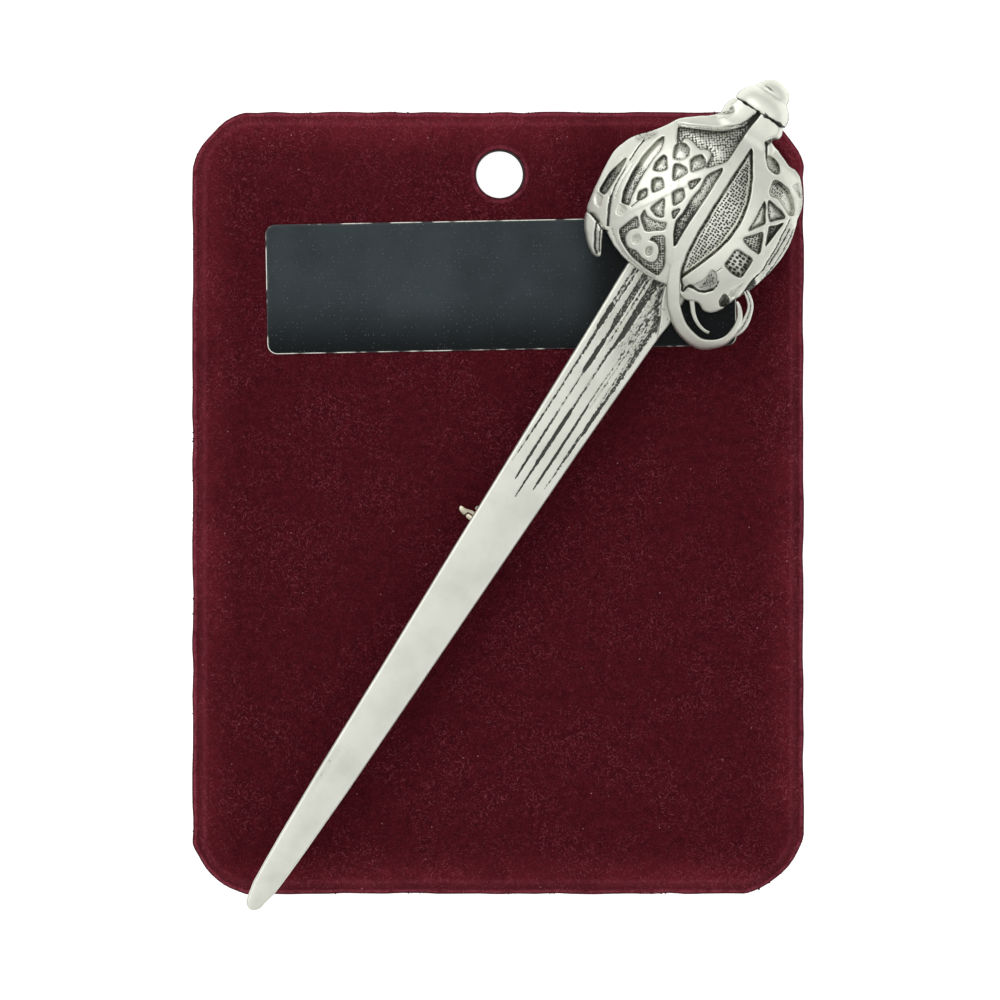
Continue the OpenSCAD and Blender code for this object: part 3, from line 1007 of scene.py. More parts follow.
        # Feet and tips of the tufts, at random places along the outline.
        loop = rounded_loop(self.width, self.height, np.array(self.corners), self.flat_corner)
        loop = loop + [0, self.middle]
        walk = np.concatenate([[0], np.cumsum(np.linalg.norm(np.diff(loop, axis=0), axis=1))])
        at = random.random(self.tufts) * walk[-1]
        edge = np.stack([np.interp(at, walk, loop[:, k]) for k in (0, 1)], axis=1)
        out = edge - [0, self.middle]
        out /= np.linalg.norm(out, axis=1)[:, None]
        rim_foot = np.column_stack([edge, 0.15 + 0.6 * random.random(self.tufts)])
        size = random.random((self.tufts, 1)) ** 5
        sway = random.normal(0, 0.04, out.shape)
        rim_tip = rim_foot + np.column_stack([out * (0.01 + 0.16 * size) + sway, np.zeros(len(out))])
        foot, tip = np.concatenate([foot, rim_foot]), np.concatenate([tip, rim_tip])
        # Each foot is three points a third of a turn apart, and the tip is the fourth.
        thirds = np.array([0, 2.094, 4.189])
        turn = random.random(len(foot))[:, None] * 2 * math.pi + thirds
        on_face = len(foot) - self.tufts
        thick = np.concatenate([np.full(on_face, self.fibre_thick), 0.03 + 0.14 * size[:, 0]])[:, None]
        base = foot[:, None] + np.stack([np.cos(turn) * thick, np.sin(turn) * thick, 0 * turn], -1)
        points = np.concatenate([base, tip[:, None]], axis=1).reshape(-1, 3) * MM
        first = np.arange(len(foot))[:, None] * 4
        faces = np.concatenate([first + corners for corners in ([0, 1, 3], [1, 2, 3], [2, 0, 3], [2, 1, 0])])
        # The tufts on the rim are painted with shade.
        tone = np.repeat(np.where(np.arange(len(foot)) < on_face, 0.0, -0.6), 4)
        make_piece("card_fibres", points, faces, material, "card", tone)

    def build(self) -> None:
        """Builds and dresses the card."""
        material = self.finish.build("flocked_pile")
        self.shell(material)
        self.hole_rim(material, PunchedStyrene().build("punched_styrene"))
        self.pile(material)


@dataclass
class Label:
    """The bare label: black film on a pale core that shows as a line round it."""

    card: Card
    width: float = 47.8
    height: float = 13.2
    corner: float = 1.0
    turn: float = math.radians(1.1)
    core_shows: float = 0.09

    def sheet(self, name: str, grow: float, low: float, high: float, material: Material) -> None:
        """One layer of the label: a rounded rectangle with a softened upper edge.

        Args:
            name: the layer's name.
            grow: how far it stands out past the film, in mm.
            low: its underside's height in mm.
            high: its face's height in mm.
            material: its finish.
        """
        box_low, box_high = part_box("label")
        middle = np.array([(box_low.x + box_high.x) / 2, (box_low.y + box_high.y) / 2]) / MM
        cos, sin = math.cos(self.turn), math.sin(self.turn)
        rows = [(grow, low), (grow, high - 0.015), (grow - 0.015, high), (grow - 0.2, high)]
        rings = []
        for inset, z in rows:
            loop = rounded_loop(self.width + 2 * inset, self.height + 2 * inset, self.corner + inset)
            loop = loop @ np.array([[cos, sin], [-sin, cos]]) + middle
            rings.append(np.column_stack([loop, np.full(len(loop), z)]))
        points, faces = np.concatenate(rings) * MM, tube_faces(len(rows), len(rings[0]))
        layer = make_piece(name, points, faces, material, "label")
        cut_away(layer, self.card.slot_bodies())

    def build(self) -> None:
        """Builds and dresses both layers."""
        low, high = (corner.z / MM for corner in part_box("label"))
        self.sheet("label_core", 0.0, low, high - 0.03, CutCore().build("cut_core"))
        self.sheet("label_film", -self.core_shows, low + 0.05, high, GlossFilm().build("gloss_film"))


# Blade


@dataclass(frozen=True)
class Groove:
    """One groove of the blade.

    Attributes:
        rows: place along the blade, place across it, half width in mm, and stain.
        worn: how unevenly its borders run, from 0 to 1.
    """

    rows: tuple[tuple[float, float, float, float], ...]
    worn: float = 0.5


@dataclass
class Blade:
    """The flat tapering blade with five grooves that fade out towards its middle."""

    sword: SwordFrame
    edge_radius: float = 0.3
    crown: float = 0.08
    depth: float = 0.1
    wall: float = 0.06
    lap: float = 0.05
    least_half: float = 0.012
    stations: int = 560
    columns: int = 101
    # Place along the blade, half width to the left, half width to the right.
    sides: tuple[tuple[float, float, float], ...] = (
        (1.2, 0.95, 0.95), (2.6, 1.25, 1.25), (5.0, 1.42, 1.42), (8.3, 1.60, 1.60), (15.6, 1.89, 1.89),
        (28.0, 2.2, 2.2), (42.0, 2.6, 2.52), (57.0, 2.96, 2.86), (66.0, 3.15, 3.16), (70.5, 3.27, 3.33),
        (71.9, 3.31, 3.43), (73.3, 3.36, 3.57), (76.0, 3.46, 3.5), (79.0, 2.9, 2.9),
    )
    grooves: tuple[Groove, ...] = (
        Groove(((79, -2.45, 0.12, 0.7), (76, -2.5, 0.1, 0.72), (72, -2.5, 0.1, 0.7),
            (71.4, -2.4, 0.22, 1.0), (69.2, -2.4, 0.18, 1.0), (68.6, -2.32, 0.1, 0.9),
            (66, -2.28, 0.08, 0.8), (60, -2.27, 0.06, 0.7), (56, -2.3, 0.07, 0.74),
            (54.5, -2.32, 0.05, 0.66), (52.8, -2.34, 0.02, 0.55)), 0.8),
        Groove(((79, -2.1, 0.1, 0.66), (75, -2.14, 0.12, 0.66), (71.6, -2.2, 0.08, 0.62)), 0.9),
        Groove(((79, -1.2, 0.32, 0.74), (76, -1.22, 0.3, 0.7), (70.6, -1.2, 0.26, 0.76),
            (69.6, -1.16, 0.14, 0.9), (68.4, -1.16, 0.11, 0.9), (68.1, -1.16, 0.18, 1.1),
            (66.2, -1.17, 0.2, 1.1), (64.6, -1.2, 0.14, 1.0), (64.2, -1.18, 0.05, 0.75),
            (60, -1.16, 0.04, 0.62), (58.6, -1.15, 0.08, 0.85), (55, -1.14, 0.11, 0.85),
            (52, -1.12, 0.08, 0.9), (51.4, -1.1, 0.02, 0.7)), 0.6),
        Groove(((79, -0.62, 0.1, 0.7), (75, -0.66, 0.06, 0.72), (68, -0.62, 0.04, 0.6)), 0.9),
        Groove(((79, 0.1, 0.36, 0.76), (75, 0.1, 0.34, 0.74), (72.6, 0.08, 0.3, 0.86),
            (69.4, 0.12, 0.24, 0.95), (68.6, 0.05, 0.13, 0.9), (67, -0.06, 0.09, 0.8),
            (64, -0.08, 0.06, 0.66), (61, -0.08, 0.07, 0.7), (59.9, -0.1, 0.15, 1.1),
            (54.0, -0.12, 0.14, 1.1), (53.7, -0.12, 0.07, 1.0), (51.2, -0.13, 0.05, 1.0),
            (49.9, -0.14, 0.02, 0.8)), 0.4),
        Groove(((79, 1.2, 0.2, 0.8), (75, 1.22, 0.14, 0.7), (70, 1.2, 0.06, 0.6), (66, 1.15, 0.05, 0.6),
            (62, 1.02, 0.04, 0.66), (61.4, 1.08, 0.08, 0.9), (56, 1.08, 0.11, 0.95),
            (52.4, 1.04, 0.08, 0.95), (51.4, 1.03, 0.02, 0.7))),
        Groove(((76, 1.6, 0.1, 0.7), (70, 1.55, 0.06, 0.62), (64, 1.42, 0.04, 0.56),
            (61.5, 1.36, 0.02, 0.5)), 0.9),
        Groove(((79, 2.42, 0.3, 0.9), (72, 2.42, 0.2, 0.76), (67, 2.4, 0.16, 0.72), (63, 2.34, 0.13, 0.72),
            (62.7, 2.26, 0.16, 0.86), (59.2, 2.2, 0.15, 0.86), (58.6, 2.12, 0.12, 0.76),
            (55, 2.05, 0.09, 0.76), (52.2, 1.97, 0.02, 0.6)), 1.0),
        Groove(((72, 2.1, 0.05, 0.6), (66, 2.05, 0.05, 0.6), (62, 1.95, 0.03, 0.5)), 0.9),
    )
    # Web of metal between the ring and the blade's right edge, and beside it patina darkened as the web's
    # painted shadow.
    web: Loop = (
        (0.8, 76.8), (4.0, 74.4), (3.7, 73), (3.5, 71.8), (3.3, 70.9), (3.05, 71.6), (2.45, 73),
        (1.75, 74.2), (1.2, 75.4),
    )
    web_shadow: Loop = (
        (0.2, 76.6), (1.0, 76.6), (1.25, 75.4), (1.8, 74.2), (2.5, 72.9), (3.1, 71.7), (2.95, 71.4),
        (2.1, 72.2), (1.3, 73.4), (0.8, 74.8),
    )

    def half_widths(self, along: Array) -> tuple[Array, Array]:
        """Half widths to the left and right: straight between the rows of sides, and a quarter
        circle's rise over the first stretch, which rounds the tip.

        Args:
            along: places along the blade in mm.

        Returns:
            Left and right half widths in mm.
        """
        table = np.array(self.sides)
        first = table[0, 0]
        round_tip = np.sqrt(1 - (1 - np.clip(along / first, 0, 1)) ** 2)
        left, right = (np.interp(along, table[:, 0], table[:, k]) * round_tip for k in (1, 2))
        return left, right

    def relief(self, x: Array, y: Array) -> tuple[Array, Array]:
        """Depth and stain of the grooves. Each has a flat floor between two steep walls, whose
        borders wander at random along the blade as a worn casting's do.

        Args:
            x: places across the blade in mm, one row for each station.
            y: places along the blade in mm, of the same shape.

        Returns:
            Depth in mm and stain from 0 to 1.
        """
        depth, stain = np.zeros(x.shape), np.zeros(x.shape)
        count = len(y)
        for number, groove in enumerate(self.grooves):
            rows = np.array(groove.rows)[::-1]
            middle, half, dark = (
                np.interp(y[:, 0], rows[:, 0], rows[:, k], left=0, right=0) for k in (1, 2, 3)
            )
            there = (half > self.least_half)[:, None]
            # Borders wander in short and in long waves, most near the hilt.
            loose = groove.worn * (0.4 + 0.6 * ease(y[:, 0], 60, 70))
            sides = [
                half + loose * (0.11 * (ripple(count, 2.3, SEED + 2 * number + k) - 0.5)
                                + 0.10 * (ripple(count, 7.0, SEED + 60 + 2 * number + k) - 0.5))
                for k in (0, 1)
            ]
            gap = np.where(x < middle[:, None], middle[:, None] - x - sides[0][:, None],
                           x - middle[:, None] - sides[1][:, None])
            cut = (1 - ease(gap, -self.wall, self.wall)) * there
            depth = np.maximum(depth, cut * self.depth * np.clip(half / 0.2, 0.3, 1)[:, None])
            held = (1 - ease(gap, self.lap - 0.05, self.lap + 0.05)) * there
            stain = np.maximum(stain, held * dark[:, None])
            # Thin patina on the ribs beside a groove, near the hilt.
            haze = (1 - ease(gap, 0.0, 0.3)) * 0.34 * there * ease(y, 52, 64)
            stain = np.maximum(stain, haze)
        # The web and its shadow, then the dull ribs by the hilt and the pitted lower blade.
        places = np.stack([x.ravel(), y.ravel()], 1)
        web = inside_distance(places, corner_cut(np.array(self.web))).reshape(x.shape)
        shadow = inside_distance(places, corner_cut(np.array(self.web_shadow))).reshape(x.shape)
        raised = ease(web, -0.05, 0.2)
        inner = ease(2.9 - np.abs(x), 0.0, 0.3)
        dull = (0.34 + 0.14 * ease(x, 0.2, 0.6)) * ease(y, 62, 70) * inner
        pitted = 0.14 * ease(y, 36, 48) + 0.3 * ease(-x, 0.5, 1.3) * ease(y, 11, 15) * ease(-y, -22, -17)
        stain = np.maximum(stain, np.maximum(dull, pitted))
        stain = np.maximum(stain, 0.72 * ease(shadow, -0.15, 0.2))
        stain = stain * (1 - raised) + 0.3 * raised
        return depth * (1 - raised) - 0.22 * raised, stain

    def build(self, material: Material) -> None:
        """Builds the blade: one cross-section carried from the tip to the tang.

        The section is a crowned top, crown times the square of the share across, with quarter-round
        edges, upright sides and a flat back.

        Args:
            material: the pewter.
        """
        low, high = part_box("blade")
        top, back = high.z / MM, low.z / MM
        near_tip = 1.2 * (1 - np.cos(np.linspace(0.05, math.pi / 2, 24)))
        plain, grooved = np.linspace(1.26, 46, 140), np.linspace(46.1, 78.95, self.stations)
        along = np.concatenate([near_tip, plain, grooved])
        left, right = self.half_widths(along)
        # Columns lie closer together towards the edges.
        share = np.sin(np.linspace(-1, 1, self.columns) * math.pi / 2 * 0.8) / math.sin(math.pi / 2 * 0.8)
        half = np.where(share[None] < 0, left[:, None], right[:, None])
        x = share[None] * half
        y = np.broadcast_to(along[:, None], x.shape)
        radius = np.minimum(self.edge_radius, half * 0.6)
        lap = np.clip((np.abs(x) - (half - radius)) / radius, 0, 1)
        z = top - self.crown * share[None] ** 2 - radius * (1 - np.sqrt(np.clip(1 - lap**2, 0, 1)))
        depth, stain = self.relief(x, y)
        z = z - depth
        lows = (right - 0.12, right * 0.5, -left * 0.5, -left + 0.12)
        under = [np.stack([side, along, np.full(len(along), back)], -1)[:, None] for side in lows]
        mid = (top + back) / 2 - 0.2
        flank = [np.stack([side, along, np.full(len(along), mid)], -1)[:, None] for side in (right, -left)]
        rings = np.concatenate([np.stack([x, y, z], -1), flank[0], *under, flank[1]], axis=1)
        stain = np.concatenate([stain, np.full((len(along), 6), 0.1)], axis=1)
        points = self.sword.place(rings.reshape(-1, 3))
        faces = [row[::-1] for row in tube_faces(len(along), rings.shape[1])]
        make_piece("blade_cast", points, faces, material, "blade", stain.ravel(), 60)


# Hilt


@dataclass(frozen=True)
class Window:
    """A window of the basket, in tenths of a mm from the basket's middle.

    Attributes:
        loop, blunt: its corners, and how much they are rounded, from 0 to 0.25.
        depth: how deep it goes, as a share of the shell's thickness.
        ground, border: how dark the ground is in its middle and along its border, from 0 to 1; the
        border's dark is patina and painted shade under the strap's edge.
        crown: how far the ground swells up in its middle, in mm.
        cell: size of one grain of the ground's pattern, across and along, in mm.
        turn: how far the pattern is turned, in degrees.
        fan: how much narrower the pattern's columns get towards both ends.
        ridge: how far inside the border a thin raised line runs, in mm. Zero leaves it out.
        bead: how strong the pattern is: dark dots on light above zero, light on dark below.
    """

    loop: Loop
    depth: float = 1.0
    ground: float = 0.5
    crown: float = 0.12
    blunt: float = 0.13
    cell: Pair = (0.26, 0.26)
    turn: float = 20.0
    fan: float = 0.0
    ridge: float = 0.0
    bead: float = 0.2
    border: float = 0.6


@dataclass(frozen=True)
class Crease:
    """A line cast into the basket, or with a negative depth a low bar on it.

    Attributes:
        path: its corners in tenths of a mm from the basket's middle.
        half: half its width in mm.
        stain: how dark it is.
        depth: how deep it goes in mm.
        flat: how flat its floor is, as the power in exp(-(gap/half)^flat).
    """

    path: Loop
    half: float = 0.09
    stain: float = 0.9
    depth: float = 0.15
    flat: float = 2.0


@dataclass(frozen=True)
class Smudge:
    """A soft patch where the patina was left or rubbed off: its outline in tenths of a mm, how much
    it adds to the stain, and how softly it ends, in mm."""

    loop: Loop
    stain: float
    soft: float = 0.3


@dataclass(frozen=True)
class Strap:
    """A strap that stands free of the shell.

    Attributes:
        name: its name.
        rows: x, y and width in tenths of a mm, and how far below the ring's sphere its top is, in mm.
        thick: its thickness in mm.
        count: number of sections along it.
        stain: how dark its lower flanks are, as painted shade.
        furrow: how dark the furrow along its middle is.
    """

    name: str
    rows: tuple[tuple[float, float, float, float], ...]
    thick: float
    count: int
    stain: float
    furrow: float = 0.0


OUTLINE: Loop = (
    (-28.3, 126), (-28.4, 119), (-30.2, 115.5), (-32.2, 111), (-32.6, 106), (-31.8, 101), (-32, 97),
    (-39, 89.5), (-51.5, 80.5), (-60, 73.5), (-64.5, 69), (-69.5, 60), (-75, 50.5), (-87, 36.5), (-94, 28),
    (-98, 19), (-101.5, 8), (-101.5, -5), (-100, -20), (-98, -36), (-95.5, -50), (-93.5, -60), (-78, -64),
    (-64, -66), (-54, -73), (-44, -77), (-29, -81), (-9, -82.5), (9, -81), (14, -79.5), (22, -79),
    (27, -75.5), (29.5, -77.5), (32.7, -80), (36.8, -81.5), (43.8, -81.2), (50, -78), (53.5, -76.6),
    (57.7, -78.6), (61.8, -81.2), (68.8, -79.9), (74.3, -75.5), (78.5, -68.6), (80.6, -61.6), (84, -53),
    (87.5, -47), (91, -39.5), (93, -34), (95.4, -25), (97.3, -17), (99.3, -7.4), (100.4, 2.3), (100.8, 12),
    (100, 23), (98, 34), (94.5, 44), (92.3, 50), (92, 55), (90.3, 62), (86.8, 69), (80, 77.3), (74.3, 84.5),
    (68, 88.5), (63, 90), (59, 89.3), (54, 90.3), (48.5, 93), (40, 96), (32, 98.5), (28.5, 99.8),
    (27.5, 102.5), (30.5, 105), (33.2, 107.8), (33.4, 112), (31.2, 116.5), (30.2, 119), (30.2, 126),
)
NECK_TOP = 11.93
SILHOUETTE_CUTS = 2
LEAF_SIDE: Loop = (
    (-93.5, -58), (-88.5, -71), (-81.5, -79.5), (-75, -86.5), (-68, -91.5), (-62, -94), (-57, -94),
    (-54.5, -91), (-57, -87), (-61, -80), (-65, -72), (-68, -66), (-75, -61),
)

MESH = Window(((3.0, 124), (2.9, 117), (2.5, 112), (1.6, 106.2), (1, 98.2), (0.8, 90), (0.9, 79.5),
    (1.2, 62), (0.8, 58.5), (-2.7, 53.5), (-8, 47.5), (-13.5, 42), (-15, 46), (-15.2, 53), (-17, 57.5),
    (-21, 58.8), (-25, 57.2), (-29, 54.7), (-35, 55.8), (-40, 57), (-45, 57.8), (-48.5, 55.5), (-49.5, 50),
    (-49, 45), (-51, 46.5), (-55.5, 53), (-60.5, 62), (-51, 66.6), (-42, 70.8), (-33, 75), (-27, 78.2),
    (-17.8, 84), (-11.4, 90.7), (-7.6, 94.7), (-4.5, 98.4), (-2.8, 101.7), (-1.6, 105), (-0.8, 109.5),
    (-0.4, 114), (-0.8, 118), (-0.8, 124)), 1, 0.5, 0.3, cell=(0.27, 0.26), turn=38, bead=-1.2, border=0.8)
LEAF = Window(((14, 84), (17, 81.5), (24.3, 70.5), (31.3, 59.5), (37, 48.5), (42, 36), (45.3, 22),
    (46.6, 8), (45.7, -6), (42.6, -21), (37, -38), (31.5, -52), (26.5, -64.5), (24.5, -66), (20, -54),
    (17.2, -41), (15, -20), (14.2, 10), (13.8, 45)), 1, 0.45, 0.45, cell=(0.35, 0.29), turn=0, fan=0.9,
    ridge=0.36, bead=1.0, border=0.92)
FOOT = Window(((-46, -37), (-38, -46), (-42, -50), (-40, -56), (-30, -54), (-22, -50), (-21, -46),
    (-12, -39), (-2, -53), (4.5, -64), (5, -76.5), (-9, -77), (-29, -74), (-44, -68), (-54, -59),
    (-50, -47)), 1, 0.5, 0.1, cell=(0.24, 0.24), turn=35, bead=0.45, border=0.7)
# Discs that stand in the foot's window: x, y and radius in tenths of a mm.
EYELETS = ((-34, -57.5, 11), (-25, -60, 8), (-17, -60, 10.3), (-12, -63.5, 6.5), (-32, -45, 7), (-28, -50, 6))
GRAIN = (0.2, 0.2)
WINDOWS: tuple[Window, ...] = (
    MESH, LEAF, FOOT,
    Window(((-67, 46), (-64.5, 41), (-62.5, 34), (-64, 17), (-64, -3), (-62, -23), (-59, -32), (-67, -34),
        (-71, -23), (-74, -3), (-74, 17), (-71, 38)), 1, 0.34, 0.12, cell=GRAIN, border=0.5),
    Window(((-62, -36), (-59, -38), (-60, -45), (-65, -45), (-67, -36)), 0.3, 0.3, 0),
    Window(((1.5, 53), (-9, 36), (-7, 22), (-9, 7), (-8, -8), (-10, -21), (-4, -33), (3, -44), (1.5, -20),
        (2.5, 17)), 1, 0.44, 0.15, cell=GRAIN, border=0.66),
    Window(((-88, 6), (-93, -13), (-93, -36), (-85, -37), (-85, -13), (-86.5, 6)), 1, 0.6, 0, cell=GRAIN,
        border=0.8),
    Window(((-93, -39), (-86, -39), (-84, -50), (-88, -49), (-92, -44)), 0.3, 0.32, 0),
    Window(((31, 86), (36, 88), (42, 87.5), (48, 84.5), (52, 78), (50, 75), (43.5, 75), (37, 78)), 1, 0.42,
        0.2, 0.25),
    Window(((51, 68), (52, 70), (60, 71), (69, 69.5), (78, 63), (85, 55.5), (87, 50), (84, 47.5),
        (79, 49.5), (71, 53), (64, 55.5), (57, 54), (53, 56.5)), 0.8, 0.42, 0.5, cell=(0.2, 0.36), turn=-8,
        bead=0.5),
    Window(((57, 49.5), (66, 48.3), (73, 47.5), (81, 44.5), (81, 42), (75, 36.5), (70.3, 31), (66, 35.5),
        (62, 41)), 1, 0.36, 0.35, border=0.75),
    Window(((54.5, 46), (57.8, 43), (62, 35.5), (67.5, 27.5), (66, 24.5), (62, 19), (57, 11.5), (56.5, 27)),
        1, 0.4, 0.3, border=0.75),
    Window(((82.8, 38), (78, 31.5), (72.5, 27), (75, 22), (77.5, 15), (80.3, 8), (81.3, 16), (82, 28)), 1,
        0.66, 0, border=0.85),
    Window(((69.5, 18), (72, 16.5), (75.5, 8), (80, -2.5), (68, -2.2), (60, -0.5), (57, 3), (63, 10)),
        1, 0.5, 0.2, cell=(0.3, 0.25), bead=0.5, border=0.75),
    Window(((69.5, 74), (71, 79), (74, 80.5), (80, 74), (84, 68), (78, 70), (73, 72)), 0.35, 0.42, 0),
    Window(((56.5, -10), (77, -10), (77.5, -21), (77, -32), (68, -34), (55, -31), (56, -20)), 1, 0.3, 0.4,
           cell=(0.52, 0.37), turn=-2, bead=1.8, border=0.66),
    Window(((47, -42), (53, -42), (59, -50), (60, -57), (55, -63), (47, -66), (40, -65), (45, -58),
        (47, -50)), 0.5, 0.34, 0.1, 0.25),
    Window(((71, -56), (77, -56), (81, -61), (80, -65), (75, -68), (71, -64)), 1, 0.85, 0),
    Window(((80, -39), (82, -52), (80, -55), (76, -54), (75, -51)), 0.3, 0.36, 0),
    Window(((-46, 9), (-42, 6), (-39.5, 2), (-42, -3), (-46, -8), (-50, -4), (-53, 2), (-51, 6)), 1, 0.3,
        0.25),
    Window(((-22, 12), (-16, 5), (-16.5, 0), (-20, -8), (-25, -3), (-29, 2), (-27, 7)), 1, 0.32, 0.25),
    Window(((-43, 28), (-38, 31), (-31, 31), (-27, 28), (-31, 19), (-34.5, 13), (-39, 19)), 1, 0.3, 0.25),
    Window(((-52.5, 44), (-50, 49.5), (-44.5, 51.5), (-38.5, 49), (-35.3, 43.5), (-37.5, 37.5), (-43, 33.3),
        (-46.5, 32.5), (-49.5, 36.5)), 1, 0.36, 0.25),
    Window(((-29.5, 46), (-25, 51), (-20, 49), (-16.5, 45.5), (-15, 42.5), (-19, 36.5), (-24, 30.5),
        (-27, 34), (-31, 40)), 1, 0.36, 0.25),
    Window(((-53, 29), (-46, 19), (-51, 14), (-58, 11), (-60, 19), (-57, 30)), 1, 0.3, 0.25),
    Window(((-12, 31), (-14, 15), (-21, 20)), 1, 0.38, 0.2),
    Window(((-53, -8), (-49, -15), (-51, -20), (-55, -24), (-58, -15)), 1, 0.42, 0.2),
    Window(((-13, -7), (-13, -20), (-19, -14)), 1, 0.38, 0.2),
    Window(((-33, -7), (-28, -15), (-23, -24), (-30, -27), (-39, -23), (-37, -16)), 1, 0.36, 0.25),
    Window(((-43, -28), (-38, -32), (-30, -32), (-22, -30), (-17, -27), (-15, -34), (-24, -40), (-30, -45),
        (-37, -41), (-43, -35)), 1, 0.48, 0.12, cell=GRAIN),
    Window(((-38, -57.5), (-36, -53), (-32, -53), (-30, -57.5), (-32, -61), (-36, -61)), 0.35, 0.36, 0.1,
        0.25),
    Window(((-20.5, -59), (-17, -55.5), (-14, -58), (-13, -63), (-16, -65), (-19.5, -63)), 0.5, 0.45, 0.1,
        0.25),
)

CREASES: tuple[Crease, ...] = (
    Crease(((-70, 76), (-66, 69), (5, -52), (8, -57)), 0.46, 0, -0.06, 5),
    Crease(((1, 57), (-12, 36), (-64, -47)), 0.42, 0, -0.06, 5),
    Crease(((56, 50), (68.3, 30), (72, 21.5), (81, 0)), 0.18, 0, -0.05, 4),
    Crease(((88, 48), (81, 39.5), (70, 26.5), (58, 8), (54, 2)), 0.18, 0, -0.05, 4),
    Crease(((-82, 31), (-83, 18), (-83, 7)), 0.1, 0.8),
    Crease(((-83, -1), (-82, -12), (-81.5, -22), (-79, -35)), 0.1, 0.75),
    Crease(((-79, -35), (-73, -48), (-66, -61)), 0.19, 0.9),
    Crease(((-78.5, 4), (-79, -8), (-78, -20), (-75, -33)), 0.07, 0.5, 0.08),
    Crease(((-93.5, -60), (-83, -61.5), (-76, -64), (-69, -67), (-63, -66)), 0.1),
    Crease(((-53, -23), (-56, -32)), 0.06, 0.8),
    Crease(((54.5, -35), (52.5, -41)), 0.06, 0.8),
    Crease(((81, -36), (81, -41)), 0.05, 0.6),
    # The arm's bevel into the mesh window, greyed along it as painted shade.
    Crease(((-0.8, 113), (-2, 108.6), (-3.2, 105), (-6.8, 98.6), (-10.4, 94.8), (-14.4, 90.6), (-21, 84.6),
        (-30, 79.2), (-38.5, 75), (-49, 69.4), (-60, 64)), 0.2, 0.42, 0.34),
    Crease(((86.2, 45), (87.7, 36), (88.3, 27), (89.5, 18), (90.3, 7), (90.8, -4), (91, -13), (89.5, -21)),
        0.1, 0.62, 0.1),
    Crease(((89.5, -21), (88, -29), (87.5, -38), (87, -49)), 0.1, 0.9, 0.2),
    Crease(((91.5, 36), (92.5, 22), (93.3, 8), (93.5, -6)), 0.06, 0.56, 0.08),
    Crease(((95, 38), (97, 26), (98, 12), (98, -4), (96.3, -16)), 0.05, 0.5, 0.06),
    Crease(((-32, 96), (-28, 99), (-24.5, 102.5), (-22.5, 105.5), (-24.5, 107)), 0.2, 0.5, 0.35),
    Crease(((33, 105.5), (29.5, 104.5), (26.5, 101.5), (24.5, 96)), 0.24, 0.7, 0.35),
    Crease(((24, 96.5), (28.5, 89.5), (33, 84)), 0.13, 1.0, 0.25),
    Crease(((25, -65), (28, -69), (31, -71), (33, -75.5)), 0.1, 0.85, 0.3),
    Crease(((34.5, -76), (35, -71.5), (37, -68), (41, -66.5)), 0.11, 0.8, 0.25),
    Crease(((38, -67.5), (41, -66.8), (48, -66.8), (54, -63.8), (58.5, -58.5)), 0.16, 1.0, 0.3),
    Crease(((58.5, -58.5), (60.5, -53), (59.5, -48)), 0.09, 0.8, 0.2),
    Crease(((-60, -62), (-50, -69.8), (-38, -75.3), (-25, -78.8), (-9, -80), (3, -79.6)), 0.2, 0.42, 0.1),
    Crease(((-77, -64), (-74, -72), (-70, -79), (-65, -87), (-60, -91)), 0.13, 0.9, 0.15),
    Crease(((-70, -67), (-67, -75), (-62, -83), (-58, -89)), 0.06, 0.7, 0.1),
    Crease(((-96, 2), (-93, 7)), 0.05, 0.5),
)

SMUDGES: tuple[Smudge, ...] = (
    Smudge(((-93, 29), (-84, 40), (-76, 48), (-71, 43), (-78, 33), (-87, 25)), 0.5),
    Smudge(((89, -25), (93, -28), (94, -32), (92, -38), (88, -44), (86, -38), (87, -30)), 0.75, 0.15),
    Smudge(((87, 44), (95, 41), (99.5, 28), (101, 10), (100, -10), (96, -26), (91, -22), (91, -5),
        (90, 15)), 0.36, 0.2),
    Smudge(((46, -44), (56, -45), (59, -53), (55, -61), (44, -65), (48, -54)), 0.26, 0.3),
    Smudge(((28, -62), (36, -64), (42, -69), (38, -77), (28, -74)), 0.4, 0.3),
    Smudge(((79, 74), (84, 74), (92, 62), (92, 52), (88, 54), (84, 66)), 0.36, 0.2),
    Smudge(((-91, 7), (-84, 7), (-84, -8), (-93, -10)), -0.3),
    Smudge(((65, 60), (70, 68), (80, 63), (88, 53), (78, 49)), -0.3),
    Smudge(((50, 71), (62, 72), (60, 66), (52, 63)), 0.2),
    Smudge(((-76, 8), (-76, -36), (-56, -36), (-62, 8)), 0.16),
    Smudge(((-76, 40), (-76, 10), (-62, 10), (-62, 40)), -0.12),
    Smudge(((-11, 4), (4, 4), (4, -46), (-11, -30)), 0.18),
    Smudge(((-8, 80), (4, 80), (4, 120), (-4, 120), (-8, 98)), 0.2),
    Smudge(((-7, 104), (4, 100), (5, 125), (-6, 125)), 0.2),
    Smudge(((-75, -70), (-66, -68), (-57, -88), (-60, -92), (-67, -84)), 0.42),
    Smudge(((-14, 66), (-2, 66), (2, 50), (-14, 42)), -0.2),
    Smudge(((-42, 63), (-24, 70), (-8, 68), (-4, 58), (-18, 61), (-38, 59)), -0.2),
    Smudge(((14, 84), (20, 80), (32, 54), (26, 46), (14, 50)), 0.2),
    Smudge(((18, 30), (38, 34), (42, 0), (34, -24), (18, -10)), -0.1),
    Smudge(((-50, 36), (-38, 36), (-37, 42), (-47, 41)), -0.25, 0.2),
    Smudge(((31, 90), (38, 90), (40, 76), (31, 78)), -0.2),
    Smudge(((56, 46), (66, 30), (64, 16), (56, 13)), -0.1),
)

